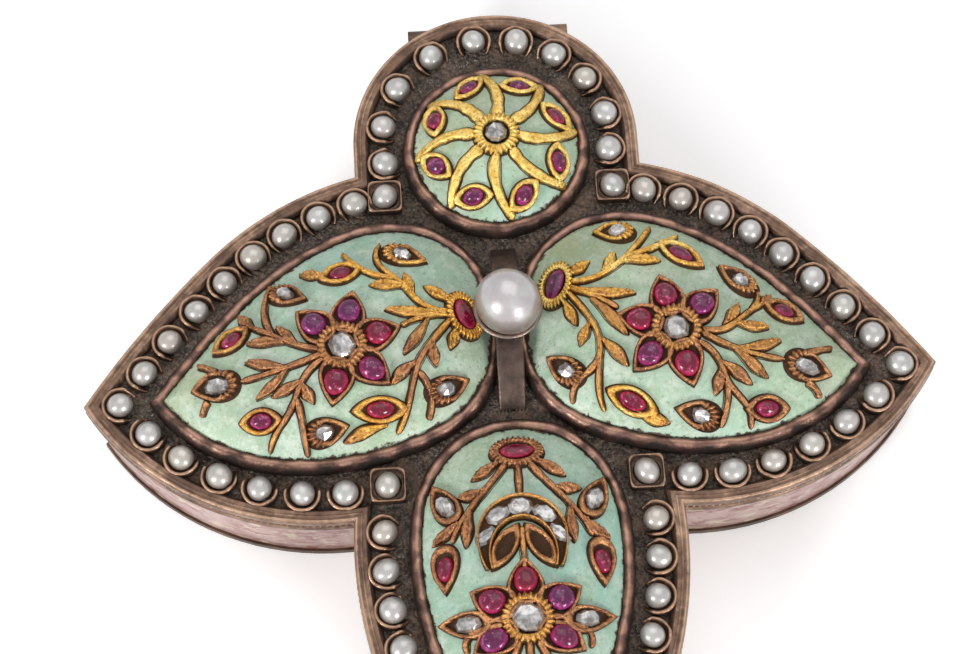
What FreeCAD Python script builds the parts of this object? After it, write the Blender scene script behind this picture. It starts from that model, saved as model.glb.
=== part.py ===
import FreeCAD, Part
import bisect
import math
import os

os.makedirs("parts", exist_ok=True)

V = FreeCAD.Vector
UP = V(0, 0, 1)

# Jeweled box with a hinged, four-lobed lid. Millimetres, +Z up, +Y towards the hinge.
# The origin lies on the resting face, straight below the pearl knob.

# Lid edge in plan: a round back lobe and three pointed leaf lobes
back_lobe_radius = 14.2
back_lobe_y = 20.4
back_notch_y = 17.0
shoulder_x = 28.5
shoulder_y = 9.05
side_tip_x = 41.0
side_tip_y = -6.0
front_notch_x = 15.6
front_notch_y = -19.0
front_tip_y = -53.8
shoulder_bulge = 1.11
upper_bulge = 0.49
lower_bulge = 4.0
front_bulge = 4.8

# Heights
base_thickness = 0.8
parting_height = 7.5
skirt_height = 1.5
plate_thickness = 1.4
moulding_height = 2.2
bezel_height = 1.5
bezel_crest_height = 0.4
boss_wall_height = 1.0

# Walls and rings, measured inwards from the lid edge
moulding_width = 1.1
moulding_step = 0.2
moulding_crest = 0.3
wire_groove_depth = 0.35
wire_groove_height = 0.4
wire_groove_rise = 0.75
wire_setback = 0.05
wall_inset = 0.9
foot_overhang = 0.25
enamel_thickness = 0.35
enamel_margin = 0.3
wall_thickness = 1.2
flange_clearance = 0.3
flange_thickness = 0.7
flange_drop = 1.1

# Hinge
hinge_inset = 0.7
barrel_radius = 1.1
barrel_length = 16.4
knuckle_count = 5
knuckle_gap = 0.15
pin_radius = 0.5
pin_clearance = 0.05
hinge_clearance = 0.25
seat_drop = 3.2
seat_flare = 1.9
seat_flare_depth = 2.6
seat_back_height = 0.9

# Bosses: collar outlines in plan, the tip first, then round the leaf
side_boss_tip = (34.45, -6.07)
side_boss_curve = [(25.5, 4.3), (17.8, 9.7), (10.9, 11.4), (4.4, 8.9), (0.8, 0.4),
                   (3.4, -8.4), (10.0, -12.3), (18.6, -13.85), (27.0, -12.3)]
front_boss_tip_y = -47.2
front_boss_top_y = -9.9
front_boss_side = [(5.9, -39.6), (9.3, -31.0), (10.3, -22.2), (8.9, -15.5), (5.0, -11.2)]
back_boss_border = 5.1
back_boss_setback = 1.4
bezel_width = 0.75
bezel_crest_margin = 0.15
back_boss_rise = 3.4
side_boss_rise = 3.7
front_boss_rise = 3.5
dome_power = 0.75
dome_steps = [1.0, 0.985, 0.95, 0.88, 0.75, 0.55, 0.35, 0.2, 0.1]
edge_samples = 240
slope_step = 0.2

# Raised metalwork on the bosses
relief = 0.5
stem_width = 0.7
stem_taper = 0.8
leaf_width = 1.0
arm_width = 1.1
arm_taper = 0.7
rose_parts = 6
petal_reach = 5.7
petal_root = 1.5
petal_width = 2.9
navette_width = 2.1
bud_width = 2.2
pear_width = 2.9
setting_wall = 0.42
collet_radius = 2.4
collet_relief = 0.8
collet_teeth = 22
tooth_radius = 0.17
oval_collet_length = 2.6
oval_collet_width = 1.6
oval_end_wall = 1.0
oval_side_wall = 0.84
stone_gap = 0.06
stone_foil = 0.08
cabochon_rise = 0.85
diamond_rise = 0.75
diamond_facets = 8
diamond_shoulder = 0.75
diamond_shoulder_rise = 0.45
petal_stone_place = 3.65
petal_stone_radius = 0.95
petal_stone_length = 1.1
navette_stone_length = 0.46
navette_stone_width = 0.4
hub_stone_radius = 1.05
flower_stone_radius = 1.25
bud_stone_radius = 0.62
pear_stone_radius = 0.95

# Side spray, right lobe: flower, stems, leaves and settings, each from root to tip
side_flower = (15.9, -2.8)
side_flower_turn = -18.0
side_oval = (4.5, 1.8)
side_oval_turn = 72.0
side_stems = [[(5.6, 1.9), (9.2, 2.9), (11.0, 4.4), (12.1, 6.0), (12.9, 8.6)],
              [(11.0, 4.4), (13.6, 6.3), (16.2, 7.6)],
              [(5.6, 1.6), (9.0, 0.2), (11.6, -1.2)],
              [(5.6, 1.5), (7.8, -1.9), (8.7, -3.8), (9.0, -6.2), (10.2, -8.8)],
              [(8.9, -5.2), (7.9, -7.6), (7.0, -9.3)],
              [(17.6, -3.0), (21.4, -2.1), (23.2, -0.9), (25.4, -0.2)],
              [(22.6, -1.4), (23.6, 0.6), (23.0, 2.8), (22.8, 4.3)],
              [(17.6, -3.4), (22.0, -5.1), (26.4, -5.9)],
              [(17.4, -3.8), (20.0, -6.6), (20.5, -8.4), (22.4, -9.9)],
              [(20.4, -8.0), (20.2, -10.2), (19.5, -12.2)],
              [(28.0, -5.0), (29.0, -4.5), (30.2, -3.95)],
              [(28.4, -7.5), (29.0, -8.2), (29.35, -8.9)]]
side_leaves = [[(5.4, 2.8), (8.2, 4.2)], [(9.2, 2.9), (10.1, 5.4)], [(10.2, 3.6), (14.0, 3.9)],
               [(6.0, 1.6), (12.0, 1.2)], [(7.6, 0.7), (10.5, -3.4)], [(5.2, 0.9), (6.0, -2.4)],
               [(7.6, -1.5), (7.0, -4.5)], [(8.7, -4.0), (11.2, -6.6)], [(11.4, -10.0), (15.4, -11.5)],
               [(9.6, -8.2), (10.1, -10.7)], [(20.2, -2.5), (21.9, -0.2)], [(21.4, -2.2), (25.0, -2.5)],
               [(24.2, -0.4), (25.4, 1.5)], [(21.3, -4.7), (25.4, -3.9)], [(21.0, -4.8), (24.2, -7.6)],
               [(19.5, -5.9), (22.5, -8.1)], [(19.9, -6.3), (19.0, -8.7)], [(21.6, -9.3), (22.6, -11.9)]]
side_navettes = [[(14.3, 6.2), (18.9, 4.7)], [(9.8, -8.8), (14.3, -9.6)],
                 [(24.7, 0.1), (28.3, -2.0)], [(21.8, -9.8), (26.1, -10.2)]]
side_buds = [[(12.6, 8.0), (8.2, 7.3)], [(7.8, -7.4), (3.9, -5.1)],
             [(23.2, 3.0), (19.5, 2.9)], [(19.8, -11.2), (15.5, -10.4)]]
side_pear = [(25.6, -5.8), (30.6, -6.6)]

# Front spray, right half: the left half is its mirror image
front_flower_y = -30.5
front_oval_y = -13.8
front_stems = [[(0.9, -14.6), (3.0, -17.4), (5.0, -19.9), (6.5, -22.6)],
               [(2.2, -31.0), (4.2, -31.2), (5.5, -31.8), (5.5, -33.2)],
               [(0.8, -32.4), (2.3, -35.0), (3.9, -36.2)]]
front_leaves = [[(1.5, -14.4), (4.2, -16.3)], [(3.2, -17.6), (5.7, -17.6)], [(4.6, -19.4), (5.3, -22.8)],
                [(5.6, -20.6), (8.1, -22.1)], [(1.7, -34.2), (2.1, -38.2)]]
front_navettes = [[(6.4, -22.4), (7.0, -27.5)], [(3.6, -35.9), (4.7, -39.7)]]
front_buds = [[(5.9, -20.8), (7.2, -16.8)], [(3.4, -31.0), (8.2, -30.3)]]
front_middle_stems = [[(0.0, -14.6), (0.0, -18.6)], [(0.0, -21.6), (0.0, -26.0)],
                      [(0.0, -32.4), (0.0, -39.0)]]
front_pear = [(0.0, -38.2), (0.0, -44.2)]
crescent_y = -22.5
crescent_radius = 4.2
crescent_bite = 3.25
crescent_bite_drop = 1.35
crescent_wall = 0.3
crescent_stones = 5
crescent_stone_radius = 0.62
crescent_stone_spread = 36.0
loop_leaf = [(0.0, -21.3), (3.2, -25.1)]
loop_leaf_width = 2.0

# Pinwheel on the back boss
pinwheel_arms = 8
pinwheel_hub_radius = 2.3
pinwheel_arm = [(1.8, -32.0), (4.2, -30.0), (6.2, -24.0), (8.05, -14.0)]
pinwheel_navette = [(6.6, -24.0), (7.35, 19.0)]

# Rim pearls
pearl_radius = 1.25
pearl_line_inset = 2.9
pearl_sink = 0.65
pearls_upper = 8
pearls_lower = 6
pearls_front = 9
pearls_back = 10
pearl_collet_radius = 1.62
pearl_collet_wall = 0.28
pearl_collet_height = 0.95
pearl_collet_leg = 1.2

# Knob
knob_radius = 3.15
knob_height = 17.2
strap_width = 2.6
strap_thickness = 0.6
strap_reach = 8.6
cup_thickness = 0.4
cup_foot_radius = 1.17
cup_rim_drop = 1.5
peg_radius = 0.45
peg_depth = 2.4

# Levels that follow from the heights
lid_bottom = parting_height + skirt_height
plate_top = lid_bottom + plate_thickness
rim_top = lid_bottom + moulding_height
boss_base = plate_top + boss_wall_height
hinge_y = back_lobe_y + back_lobe_radius - hinge_inset
hinge_recess_y = hinge_y - barrel_radius - hinge_clearance
back_boss_radius = back_lobe_radius - back_boss_border
back_boss_y = back_lobe_y - back_boss_setback
strap_top = knob_height - math.sqrt((knob_radius + cup_thickness) ** 2 - cup_foot_radius ** 2)


def flat(pair, height=0.0):
    return V(pair[0], pair[1], height)


def polar(centre, radius, degrees):
    angle = math.radians(degrees)
    return V(centre.x + radius * math.cos(angle), centre.y + radius * math.sin(angle), 0)


def bulged_edge(start, end, bulge):
    """Circular edge whose middle stands off to the left of its travel by the bulge."""
    if bulge == 0:
        return Part.makeLine(start, end)
    along = end - start
    middle = (start + end) * 0.5 + V(-along.y, along.x, 0).normalize() * bulge
    return Part.Arc(start, middle, end).toShape()


def lid_edges():
    """Edges of the four-lobed lid: from the back lobe down the right side, then up the left."""
    right = [V(back_lobe_radius, back_lobe_y, 0), V(back_lobe_radius, back_notch_y, 0)]
    right += [V(shoulder_x, shoulder_y, 0), V(side_tip_x, side_tip_y, 0)]
    right += [V(front_notch_x, front_notch_y, 0), V(0, front_tip_y, 0)]
    bulges = [0, shoulder_bulge, upper_bulge, lower_bulge, front_bulge]
    left = [V(-p.x, p.y, 0) for p in reversed(right)]
    corners = right + left[1:]
    bends = bulges + bulges[::-1]
    edges = [bulged_edge(a, b, bend) for a, b, bend in zip(corners, corners[1:], bends)]
    edges.append(bulged_edge(corners[-1], corners[0], back_lobe_radius))
    return edges


def lid_outline(inset):
    """Edge of the lid, moved inwards by the inset."""
    wire = Part.Wire(lid_edges())
    if inset == 0:
        return wire
    return wire.makeOffset2D(-inset, 1)


def lid_slab(inset, bottom, top):
    face = Part.Face(lid_outline(inset))
    face.translate(UP * bottom)
    return face.extrude(UP * (top - bottom))


def lid_ring(outer_inset, inner_inset, bottom, top):
    return lid_slab(outer_inset, bottom, top).cut(lid_slab(inner_inset, bottom, top))


def box_between(low, high):
    return Part.makeBox(high.x - low.x, high.y - low.y, high.z - low.z, low)


def leaf_wire(points, inset):
    """Closed smooth curve through the points with one sharp corner at the first, moved inwards."""
    curve = Part.BSplineCurve()
    curve.interpolate(points + [points[0]])
    if inset == 0:
        return Part.Wire(curve.toShape())
    leaving = curve.tangent(curve.FirstParameter)[0]
    arriving = curve.tangent(curve.LastParameter)[0]
    bisector = (leaving - arriving).normalize()
    moved = [points[0] + bisector * (inset / math.sin(bisector.getAngle(leaving)))]
    for place in points[1:]:
        along = curve.tangent(curve.parameter(place))[0]
        moved.append(place + V(-along.y, along.x, 0).normalize() * inset)
    inner = Part.BSplineCurve()
    inner.interpolate(moved + [moved[0]])
    return Part.Wire(inner.toShape())


def circle_wire(centre, radius):
    return Part.Wire(Part.makeCircle(radius, centre))


class Boss:
    """Domed, enamelled boss in a collar, with its height as a function of plan position."""

    def __init__(self, outline, centre, rise):
        self.outline = outline
        self.centre = centre
        self.rise = rise
        self.edge = outline(bezel_width)
        reach = [p - centre for p in self.edge.discretize(edge_samples)]
        turn = sorted((math.atan2(p.y, p.x), p.Length) for p in reach)
        full = 2 * math.pi
        turn = [(turn[-1][0] - full, turn[-1][1])] + turn + [(turn[0][0] + full, turn[0][1])]
        self.edge_angles = [angle for angle, distance in turn]
        self.edge_distances = [distance for angle, distance in turn]
        self.solid = self.dome()

    def edge_distance(self, angle):
        after = bisect.bisect_right(self.edge_angles, angle)
        start, end = self.edge_angles[after - 1:after + 1]
        near, far = self.edge_distances[after - 1:after + 1]
        return near + (far - near) * (angle - start) / (end - start)

    def height(self, x, y):
        offset = V(x, y, 0) - self.centre
        share = min(offset.Length / self.edge_distance(math.atan2(offset.y, offset.x)), 1.0)
        share = max(share, dome_steps[-1])
        return boss_base + self.rise * (1 - share ** 2) ** dome_power

    def normal(self, x, y):
        rise_x = self.height(x + slope_step, y) - self.height(x - slope_step, y)
        rise_y = self.height(x, y + slope_step) - self.height(x, y - slope_step)
        return V(-rise_x, -rise_y, 2 * slope_step).normalize()

    def dome(self):
        """Loft through scaled copies of the outline on a short upright wall."""
        sections = []
        for share in dome_steps:
            section = self.edge.copy()
            section.scale(share, self.centre)
            section.translate(UP * (boss_base + self.rise * (1 - share ** 2) ** dome_power))
            sections.append(section)
        wall = Part.Face(self.edge)
        wall.translate(UP * plate_top)
        wall = wall.extrude(UP * boss_wall_height)
        return wall.fuse(Part.makeLoft(sections, True, False)).removeSplitter()

    def bezel(self):
        """Collar round the dome: a straight wall with a narrower rounded-over crest."""
        full = UP * bezel_height
        inner = Part.Face(self.edge).extrude(full)
        wall = Part.Face(self.outline(0)).extrude(UP * (bezel_height - bezel_crest_height)).cut(inner)
        crest = Part.Face(self.outline(bezel_crest_margin)).extrude(full)
        crest = crest.cut(Part.Face(self.outline(bezel_width - bezel_crest_margin)).extrude(full))
        collar = wall.fuse(crest).removeSplitter()
        collar.translate(UP * plate_top)
        return collar

    def drape(self, column, thickness):
        """Relief of the given thickness that follows the dome within an upright column."""
        raised = self.solid.copy()
        raised.translate(UP * thickness)
        skin = raised.cut(self.solid).Solids
        if len(skin) > 1:
            skin = [skin[0].fuse(skin[1:])]
        return column.common(skin[0])


def strip(points, start_width, end_width):
    """Plan face of a smooth ribbon through the points, tapering from one width to the other."""
    middle = Part.BSplineCurve()
    middle.interpolate([flat(p) for p in points])
    left = []
    right = []
    count = len(points)
    for index, pair in enumerate(points):
        place = flat(pair)
        along = middle.tangent(middle.parameter(place))[0]
        side = V(-along.y, along.x, 0).normalize()
        half = (start_width + (end_width - start_width) * index / (count - 1)) / 2
        left.append(place + side * half)
        right.append(place - side * half)
    left_curve = Part.BSplineCurve()
    left_curve.interpolate(left)
    right_curve = Part.BSplineCurve()
    right_curve.interpolate(right[::-1])
    edges = [left_curve.toShape(), Part.makeLine(left[-1], right[-1])]
    edges += [right_curve.toShape(), Part.makeLine(right[0], left[0])]
    return Part.Face(Part.Wire(edges))


def leaf(ends, width):
    """Plan face of a pointed leaf from root to tip."""
    root = flat(ends[0])
    tip = flat(ends[1])
    return Part.Face(Part.Wire([bulged_edge(root, tip, -width / 2), bulged_edge(tip, root, -width / 2)]))


def inner_leaf(ends, width):
    """Opening of a pointed setting: the leaf less the setting's wall."""
    root = flat(ends[0])
    tip = flat(ends[1])
    along = (tip - root).normalize()
    setback = setting_wall * (tip - root).Length / width
    start = root + along * setback
    end = tip - along * setback
    return leaf([start, end], width - 2 * setting_wall)


def oval(centre, half_length, half_width, degrees):
    curve = Part.Ellipse(V(0, 0, 0), half_length, half_width).toShape()
    curve.rotate(V(0, 0, 0), UP, degrees)
    curve.translate(centre)
    return Part.Face(Part.Wire(curve))


def middle_of(ends):
    return (flat(ends[0]) + flat(ends[1])) * 0.5


def direction_of(ends):
    along = flat(ends[1]) - flat(ends[0])
    return math.degrees(math.atan2(along.y, along.x))


def column(face):
    """Upright prism over a plan face, taller than any boss."""
    return face.extrude(UP * knob_height)


def joined(faces, openings):
    """Columns over overlapping plan faces, made one, less the columns over the openings."""
    columns = [column(face) for face in faces]
    whole = columns[0]
    if len(columns) > 1:
        whole = whole.fuse(columns[1:]).removeSplitter()
    return whole.cut([column(face) for face in openings])


def ring_column(outer, inner):
    return column(outer).cut(column(inner))


def toothed_ring(centre, radius, opening):
    """Column of a round collet with a fluted outer edge."""
    ring = ring_column(Part.Face(circle_wire(centre, radius)), Part.Face(circle_wire(centre, opening)))
    flutes = []
    for tooth in range(collet_teeth):
        place = polar(centre, radius, (tooth + 0.5) * 360.0 / collet_teeth)
        flutes.append(column(Part.Face(circle_wire(place, tooth_radius))))
    return ring.cut(flutes)


def seated(shape, boss, x, y, degrees):
    """Stone turned about the upright, then stood on its foil on the dome, along the dome's normal."""
    shape.rotate(V(0, 0, 0), UP, degrees)
    upright = boss.normal(x, y)
    seat = V(x, y, boss.height(x, y)) + upright * stone_foil
    shape.Placement = FreeCAD.Placement(seat, FreeCAD.Rotation(UP, upright)).multiply(shape.Placement)
    return shape


def cabochon(boss, place, half_length, half_width, degrees):
    dome = Part.makeSphere(1.0, V(0, 0, 0), UP, 0, 90)
    size = FreeCAD.Matrix()
    size.scale(half_length, half_width, cabochon_rise)
    return seated(dome.transformGeometry(size), boss, place.x, place.y, degrees)


def rose_cut(boss, place, radius, degrees):
    """Faceted stone: a belt of sloping facets under a low crown of triangles."""
    levels = []
    for share, rise in ((1, 0), (diamond_shoulder, diamond_shoulder_rise)):
        turns = [i * 360.0 / diamond_facets for i in range(diamond_facets)]
        corners = [polar(V(0, 0, 0), radius * share, turn) for turn in turns]
        ring = Part.makePolygon(corners + corners[:1])
        ring.translate(UP * rise)
        levels.append(ring)
    levels.append(Part.Vertex(UP * diamond_rise))
    return seated(Part.makeLoft(levels, True, True), boss, place.x, place.y, degrees)


def mirrored(shape):
    return shape.mirror(V(0, 0, 0), V(1, 0, 0))


def save(name, shape):
    solids = shape.Solids
    if len(solids) == 1:
        solids[0].exportStep("parts/" + name + ".step")
    else:
        Part.makeCompound(solids).exportStep("parts/" + name + ".step")


# Hinge pieces along X
def cylinder_x(radius, start, length):
    return Part.makeCylinder(radius, length, V(start, hinge_y, parting_height), V(1, 0, 0))


def knuckle(index, body_side):
    pitch = (barrel_length + knuckle_gap) / knuckle_count
    length = pitch - knuckle_gap
    start = index * pitch - barrel_length / 2
    barrel = cylinder_x(barrel_radius, start, length)
    if body_side:
        low = V(start, hinge_y - barrel_radius, parting_height - barrel_radius - hinge_clearance)
        high = V(start + length, hinge_y, parting_height)
    else:
        low = V(start, hinge_y - barrel_radius, parting_height)
        high = V(start + length, hinge_y, lid_bottom)
    return barrel.fuse(box_between(low, high)).cut(cylinder_x(pin_radius + pin_clearance, start, length))


hinge_half = barrel_length / 2 + hinge_clearance
recess_low = V(-hinge_half, hinge_recess_y, parting_height - barrel_radius - hinge_clearance)
recess_high = V(hinge_half, hinge_y + back_lobe_radius, lid_bottom)
hinge_recess = box_between(recess_low, recess_high)

# Lower half
wall_face = wall_inset + enamel_thickness
wall_back = wall_face + wall_thickness
save("base_plate", lid_slab(wall_inset - foot_overhang, 0, base_thickness))
save("box_wall", lid_ring(wall_face, wall_back, base_thickness, parting_height).cut(hinge_recess))
side_enamel = lid_ring(wall_inset, wall_face, base_thickness, parting_height - enamel_margin)
save("side_enamel", side_enamel.cut(hinge_recess))

seat_top = parting_height - barrel_radius - hinge_clearance
seat_half = barrel_length / 2
seat_corners = [V(-seat_half, hinge_y, 0), V(seat_half, hinge_y, 0)]
seat_corners += [V(seat_half + seat_flare, hinge_y - seat_flare_depth, 0)]
seat_corners += [V(-seat_half - seat_flare, hinge_y - seat_flare_depth, 0)]
seat_plan = Part.Face(Part.makePolygon(seat_corners + seat_corners[:1])).extrude(UP * seat_top)
seat_profile = [V(0, hinge_y, seat_top), V(0, hinge_y, seat_top - seat_back_height)]
seat_profile += [V(0, hinge_y - seat_flare_depth, seat_top - seat_drop)]
seat_profile += [V(0, hinge_y - seat_flare_depth, seat_top)]
seat_side = Part.Face(Part.makePolygon(seat_profile + seat_profile[:1]))
seat_side.translate(V(-seat_half - seat_flare, 0, 0))
seat_block = seat_side.extrude(V(2 * (seat_half + seat_flare), 0, 0)).common(seat_plan)
save("hinge_seat", seat_block.cut(lid_slab(wall_inset, 0, parting_height)))
save("body_knuckles", Part.makeCompound([knuckle(i, True) for i in range(0, knuckle_count, 2)]))
save("hinge_pin", cylinder_x(pin_radius, -barrel_length / 2, barrel_length))

# Lid shell
save("lid_plate", lid_slab(moulding_width, lid_bottom, plate_top))
groove_low = lid_bottom + wire_groove_rise
groove_high = groove_low + wire_groove_height
moulding = lid_ring(0, moulding_width, lid_bottom, rim_top - moulding_crest)
moulding = moulding.cut(lid_ring(0, wire_groove_depth, groove_low, groove_high))
crest_ring = lid_ring(moulding_step, moulding_width - moulding_step, rim_top - moulding_crest, rim_top)
save("edge_moulding", moulding.fuse(crest_ring).removeSplitter())
save("milled_wire", lid_ring(wire_setback, wire_groove_depth, groove_low, groove_high))
skirt = lid_ring(wall_face, wall_back, parting_height, lid_bottom)
save("lid_skirt", skirt.cut(hinge_recess))
skirt_enamel = lid_ring(wall_inset, wall_face, parting_height, lid_bottom)
save("skirt_enamel", skirt_enamel.cut(hinge_recess))
flange_face = wall_back + flange_clearance
flange = lid_ring(flange_face, flange_face + flange_thickness, parting_height - flange_drop, lid_bottom)
save("lid_flange", flange)
save("lid_knuckles", Part.makeCompound([knuckle(i, False) for i in range(1, knuckle_count, 2)]))

# Bosses
side_points = [flat(side_boss_tip)] + [flat(p) for p in side_boss_curve]
front_right = [flat(p) for p in front_boss_side]
front_points = [V(0, front_boss_tip_y, 0)] + front_right + [V(0, front_boss_top_y, 0)]
front_points += [V(-p.x, p.y, 0) for p in reversed(front_right)]
back_centre = V(0, back_boss_y, 0)
side_centre = flat(side_flower)
front_centre = V(0, front_flower_y, 0)
side_boss = Boss(lambda inset: leaf_wire(side_points, inset), side_centre, side_boss_rise)
front_boss = Boss(lambda inset: leaf_wire(front_points, inset), front_centre, front_boss_rise)
back_boss = Boss(lambda inset: circle_wire(back_centre, back_boss_radius - inset),
                 back_centre, back_boss_rise)
for name, boss in (("back", back_boss), ("right", side_boss), ("front", front_boss)):
    save("bezel_" + name, boss.bezel())
    save("enamel_" + name, boss.solid)
save("bezel_left", mirrored(side_boss.bezel()))
save("enamel_left", mirrored(side_boss.solid))


def rose_turns(turn):
    """Directions of five petals on a six-part rose; the sixth, along the turn, carries the stems."""
    return [turn + i * 360.0 / rose_parts for i in range(1, rose_parts)]


def flower_petals(centre, turn):
    return [[polar(centre, petal_root, t), polar(centre, petal_reach, t)] for t in rose_turns(turn)]


def petal_stone_places(centre, turn):
    return [polar(centre, petal_stone_place, t) for t in rose_turns(turn)]


def flower_stones(boss, centre, turn):
    return [cabochon(boss, polar(centre, petal_stone_place, t), petal_stone_length, petal_stone_radius, t)
            for t in rose_turns(turn)]


def navette_stone(boss, ends):
    half_length = (flat(ends[1]) - flat(ends[0])).Length * navette_stone_length / 2
    half_width = navette_width * navette_stone_width / 2
    return cabochon(boss, middle_of(ends), half_length, half_width, direction_of(ends))


def stone_openings(stones_at, radius):
    return [Part.Face(circle_wire(p, radius)) for p in stones_at]


def spray_column(stems, leaves, pointed, openings):
    """Column of a whole spray: ribbons, leaves and pointed settings, less the stone openings."""
    faces = [strip(s, stem_width, stem_width * stem_taper) for s in stems]
    faces += [leaf(ends, leaf_width) for ends in leaves]
    faces += [leaf(ends, width) for ends, width in pointed]
    return joined(faces, openings)


# Side sprays
petals = flower_petals(side_centre, side_flower_turn)
side_pointed = [(ends, petal_width) for ends in petals]
side_pointed += [(ends, navette_width) for ends in side_navettes]
side_pointed += [(ends, bud_width) for ends in side_buds]
side_pointed += [(side_pear, pear_width)]
petal_places = petal_stone_places(side_centre, side_flower_turn)
side_openings = stone_openings(petal_places, petal_stone_length + stone_gap)
side_openings += [inner_leaf(ends, navette_width) for ends in side_navettes]
side_openings += stone_openings([middle_of(e) for e in side_buds], bud_stone_radius + stone_gap)
side_openings += stone_openings([middle_of(side_pear)], pear_stone_radius + stone_gap)
side_oval_place = flat(side_oval)
oval_outer = oval(side_oval_place, oval_collet_length, oval_collet_width, side_oval_turn)
oval_half_length = oval_collet_length - oval_end_wall
oval_half_width = oval_collet_width - oval_side_wall
oval_inner = oval(side_oval_place, oval_half_length, oval_half_width, side_oval_turn)
collet_disc = Part.Face(circle_wire(side_centre, collet_radius))
side_openings += [oval_outer, collet_disc]
spray = side_boss.drape(spray_column(side_stems, side_leaves, side_pointed, side_openings), relief)
save("spray_right", spray)
save("spray_left", mirrored(spray))

flower_ring = toothed_ring(side_centre, collet_radius, flower_stone_radius + stone_gap)
side_collets = Part.makeCompound(side_boss.drape(flower_ring, collet_relief).Solids
                                 + side_boss.drape(ring_column(oval_outer, oval_inner), collet_relief).Solids)
save("collets_right", side_collets)
save("collets_left", mirrored(side_collets))

side_cabochons = flower_stones(side_boss, side_centre, side_flower_turn)
side_cabochons += [navette_stone(side_boss, ends) for ends in side_navettes]
oval_stone_length = oval_half_length - stone_gap
oval_stone_width = oval_half_width - stone_gap
side_cabochons.append(cabochon(side_boss, side_oval_place, oval_stone_length,
                               oval_stone_width, side_oval_turn))
side_rubies = Part.makeCompound(side_cabochons)
save("rubies_right", side_rubies)
save("rubies_left", mirrored(side_rubies))

side_diamonds = [rose_cut(side_boss, middle_of(ends), bud_stone_radius, direction_of(ends))
                 for ends in side_buds]
side_diamonds.append(rose_cut(side_boss, middle_of(side_pear), pear_stone_radius, 0))
side_diamonds.append(rose_cut(side_boss, side_centre, flower_stone_radius, 0))
side_diamonds = Part.makeCompound(side_diamonds)
save("diamonds_right", side_diamonds)
save("diamonds_left", mirrored(side_diamonds))


# Front spray, with the crescent above the flower
def both_sides(paths):
    return paths + [[(-p[0], p[1]) for p in path] for path in paths]


front_turn = -90.0
all_navettes = both_sides(front_navettes)
all_buds = both_sides(front_buds)
front_pointed = [(ends, petal_width) for ends in flower_petals(front_centre, front_turn)]
front_pointed += [(ends, navette_width) for ends in all_navettes]
front_pointed += [(ends, bud_width) for ends in all_buds]
front_pointed += [(front_pear, pear_width)]
front_petal_places = petal_stone_places(front_centre, front_turn)
front_openings = stone_openings(front_petal_places, petal_stone_length + stone_gap)
front_openings += [inner_leaf(ends, navette_width) for ends in all_navettes]
front_openings += stone_openings([middle_of(e) for e in all_buds], bud_stone_radius + stone_gap)
front_openings += stone_openings([middle_of(front_pear)], pear_stone_radius + stone_gap)
front_oval_place = V(0, front_oval_y, 0)
front_oval_outer = oval(front_oval_place, oval_collet_length, oval_collet_width, 0)
front_oval_inner = oval(front_oval_place, oval_half_length, oval_half_width, 0)
crescent_centre = V(0, crescent_y, 0)
bite_centre = V(0, crescent_y - crescent_bite_drop, 0)
crescent_disc = Part.Face(circle_wire(crescent_centre, crescent_radius))
crescent_plan = crescent_disc.cut(Part.Face(circle_wire(bite_centre, crescent_bite))).Faces[0]
stone_places = []
for index in range(crescent_stones):
    turn = 90.0 + crescent_stone_spread * (index - (crescent_stones - 1) / 2)
    angle = math.radians(turn)
    across = math.sqrt(crescent_bite ** 2 - (crescent_bite_drop * math.cos(angle)) ** 2)
    bite_edge = across - crescent_bite_drop * math.sin(angle)
    place = polar(crescent_centre, (crescent_radius + bite_edge) / 2, turn)
    stone_places.append((place, crescent_radius - bite_edge))
crescent_openings = []
crescent_stones_made = []
for place, band in stone_places:
    radius = min(crescent_stone_radius, band / 2 - crescent_wall)
    crescent_openings.append(Part.Face(circle_wire(place, radius + stone_gap)))
    crescent_stones_made.append(rose_cut(front_boss, place, radius, 0))
save("crescent", front_boss.drape(joined([crescent_plan], crescent_openings), collet_relief))
save("crescent_diamonds", Part.makeCompound(crescent_stones_made))

loops = both_sides([loop_leaf])
loop_columns = [ring_column(leaf(ends, loop_leaf_width), inner_leaf(ends, loop_leaf_width)) for ends in loops]
front_stem_paths = both_sides(front_stems) + front_middle_stems
front_openings += [front_oval_outer, Part.Face(circle_wire(front_centre, collet_radius))]
front_column = spray_column(front_stem_paths, both_sides(front_leaves), front_pointed, front_openings)
front_column = front_column.fuse(loop_columns).removeSplitter().cut(column(crescent_plan))
save("spray_front", front_boss.drape(front_column, relief))

front_ring = toothed_ring(front_centre, collet_radius, flower_stone_radius + stone_gap)
save("collets_front", Part.makeCompound(
    front_boss.drape(front_ring, collet_relief).Solids
    + front_boss.drape(ring_column(front_oval_outer, front_oval_inner), collet_relief).Solids))

front_cabochons = flower_stones(front_boss, front_centre, front_turn)
front_cabochons += [navette_stone(front_boss, ends) for ends in all_navettes]
front_cabochons.append(cabochon(front_boss, front_oval_place, oval_stone_length, oval_stone_width, 0))
save("rubies_front", Part.makeCompound(front_cabochons))
front_diamonds = [rose_cut(front_boss, middle_of(ends), bud_stone_radius, direction_of(ends))
                  for ends in all_buds]
front_diamonds.append(rose_cut(front_boss, middle_of(front_pear), pear_stone_radius, 0))
front_diamonds.append(rose_cut(front_boss, front_centre, flower_stone_radius, 0))
save("diamonds_front", Part.makeCompound(front_diamonds))

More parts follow.
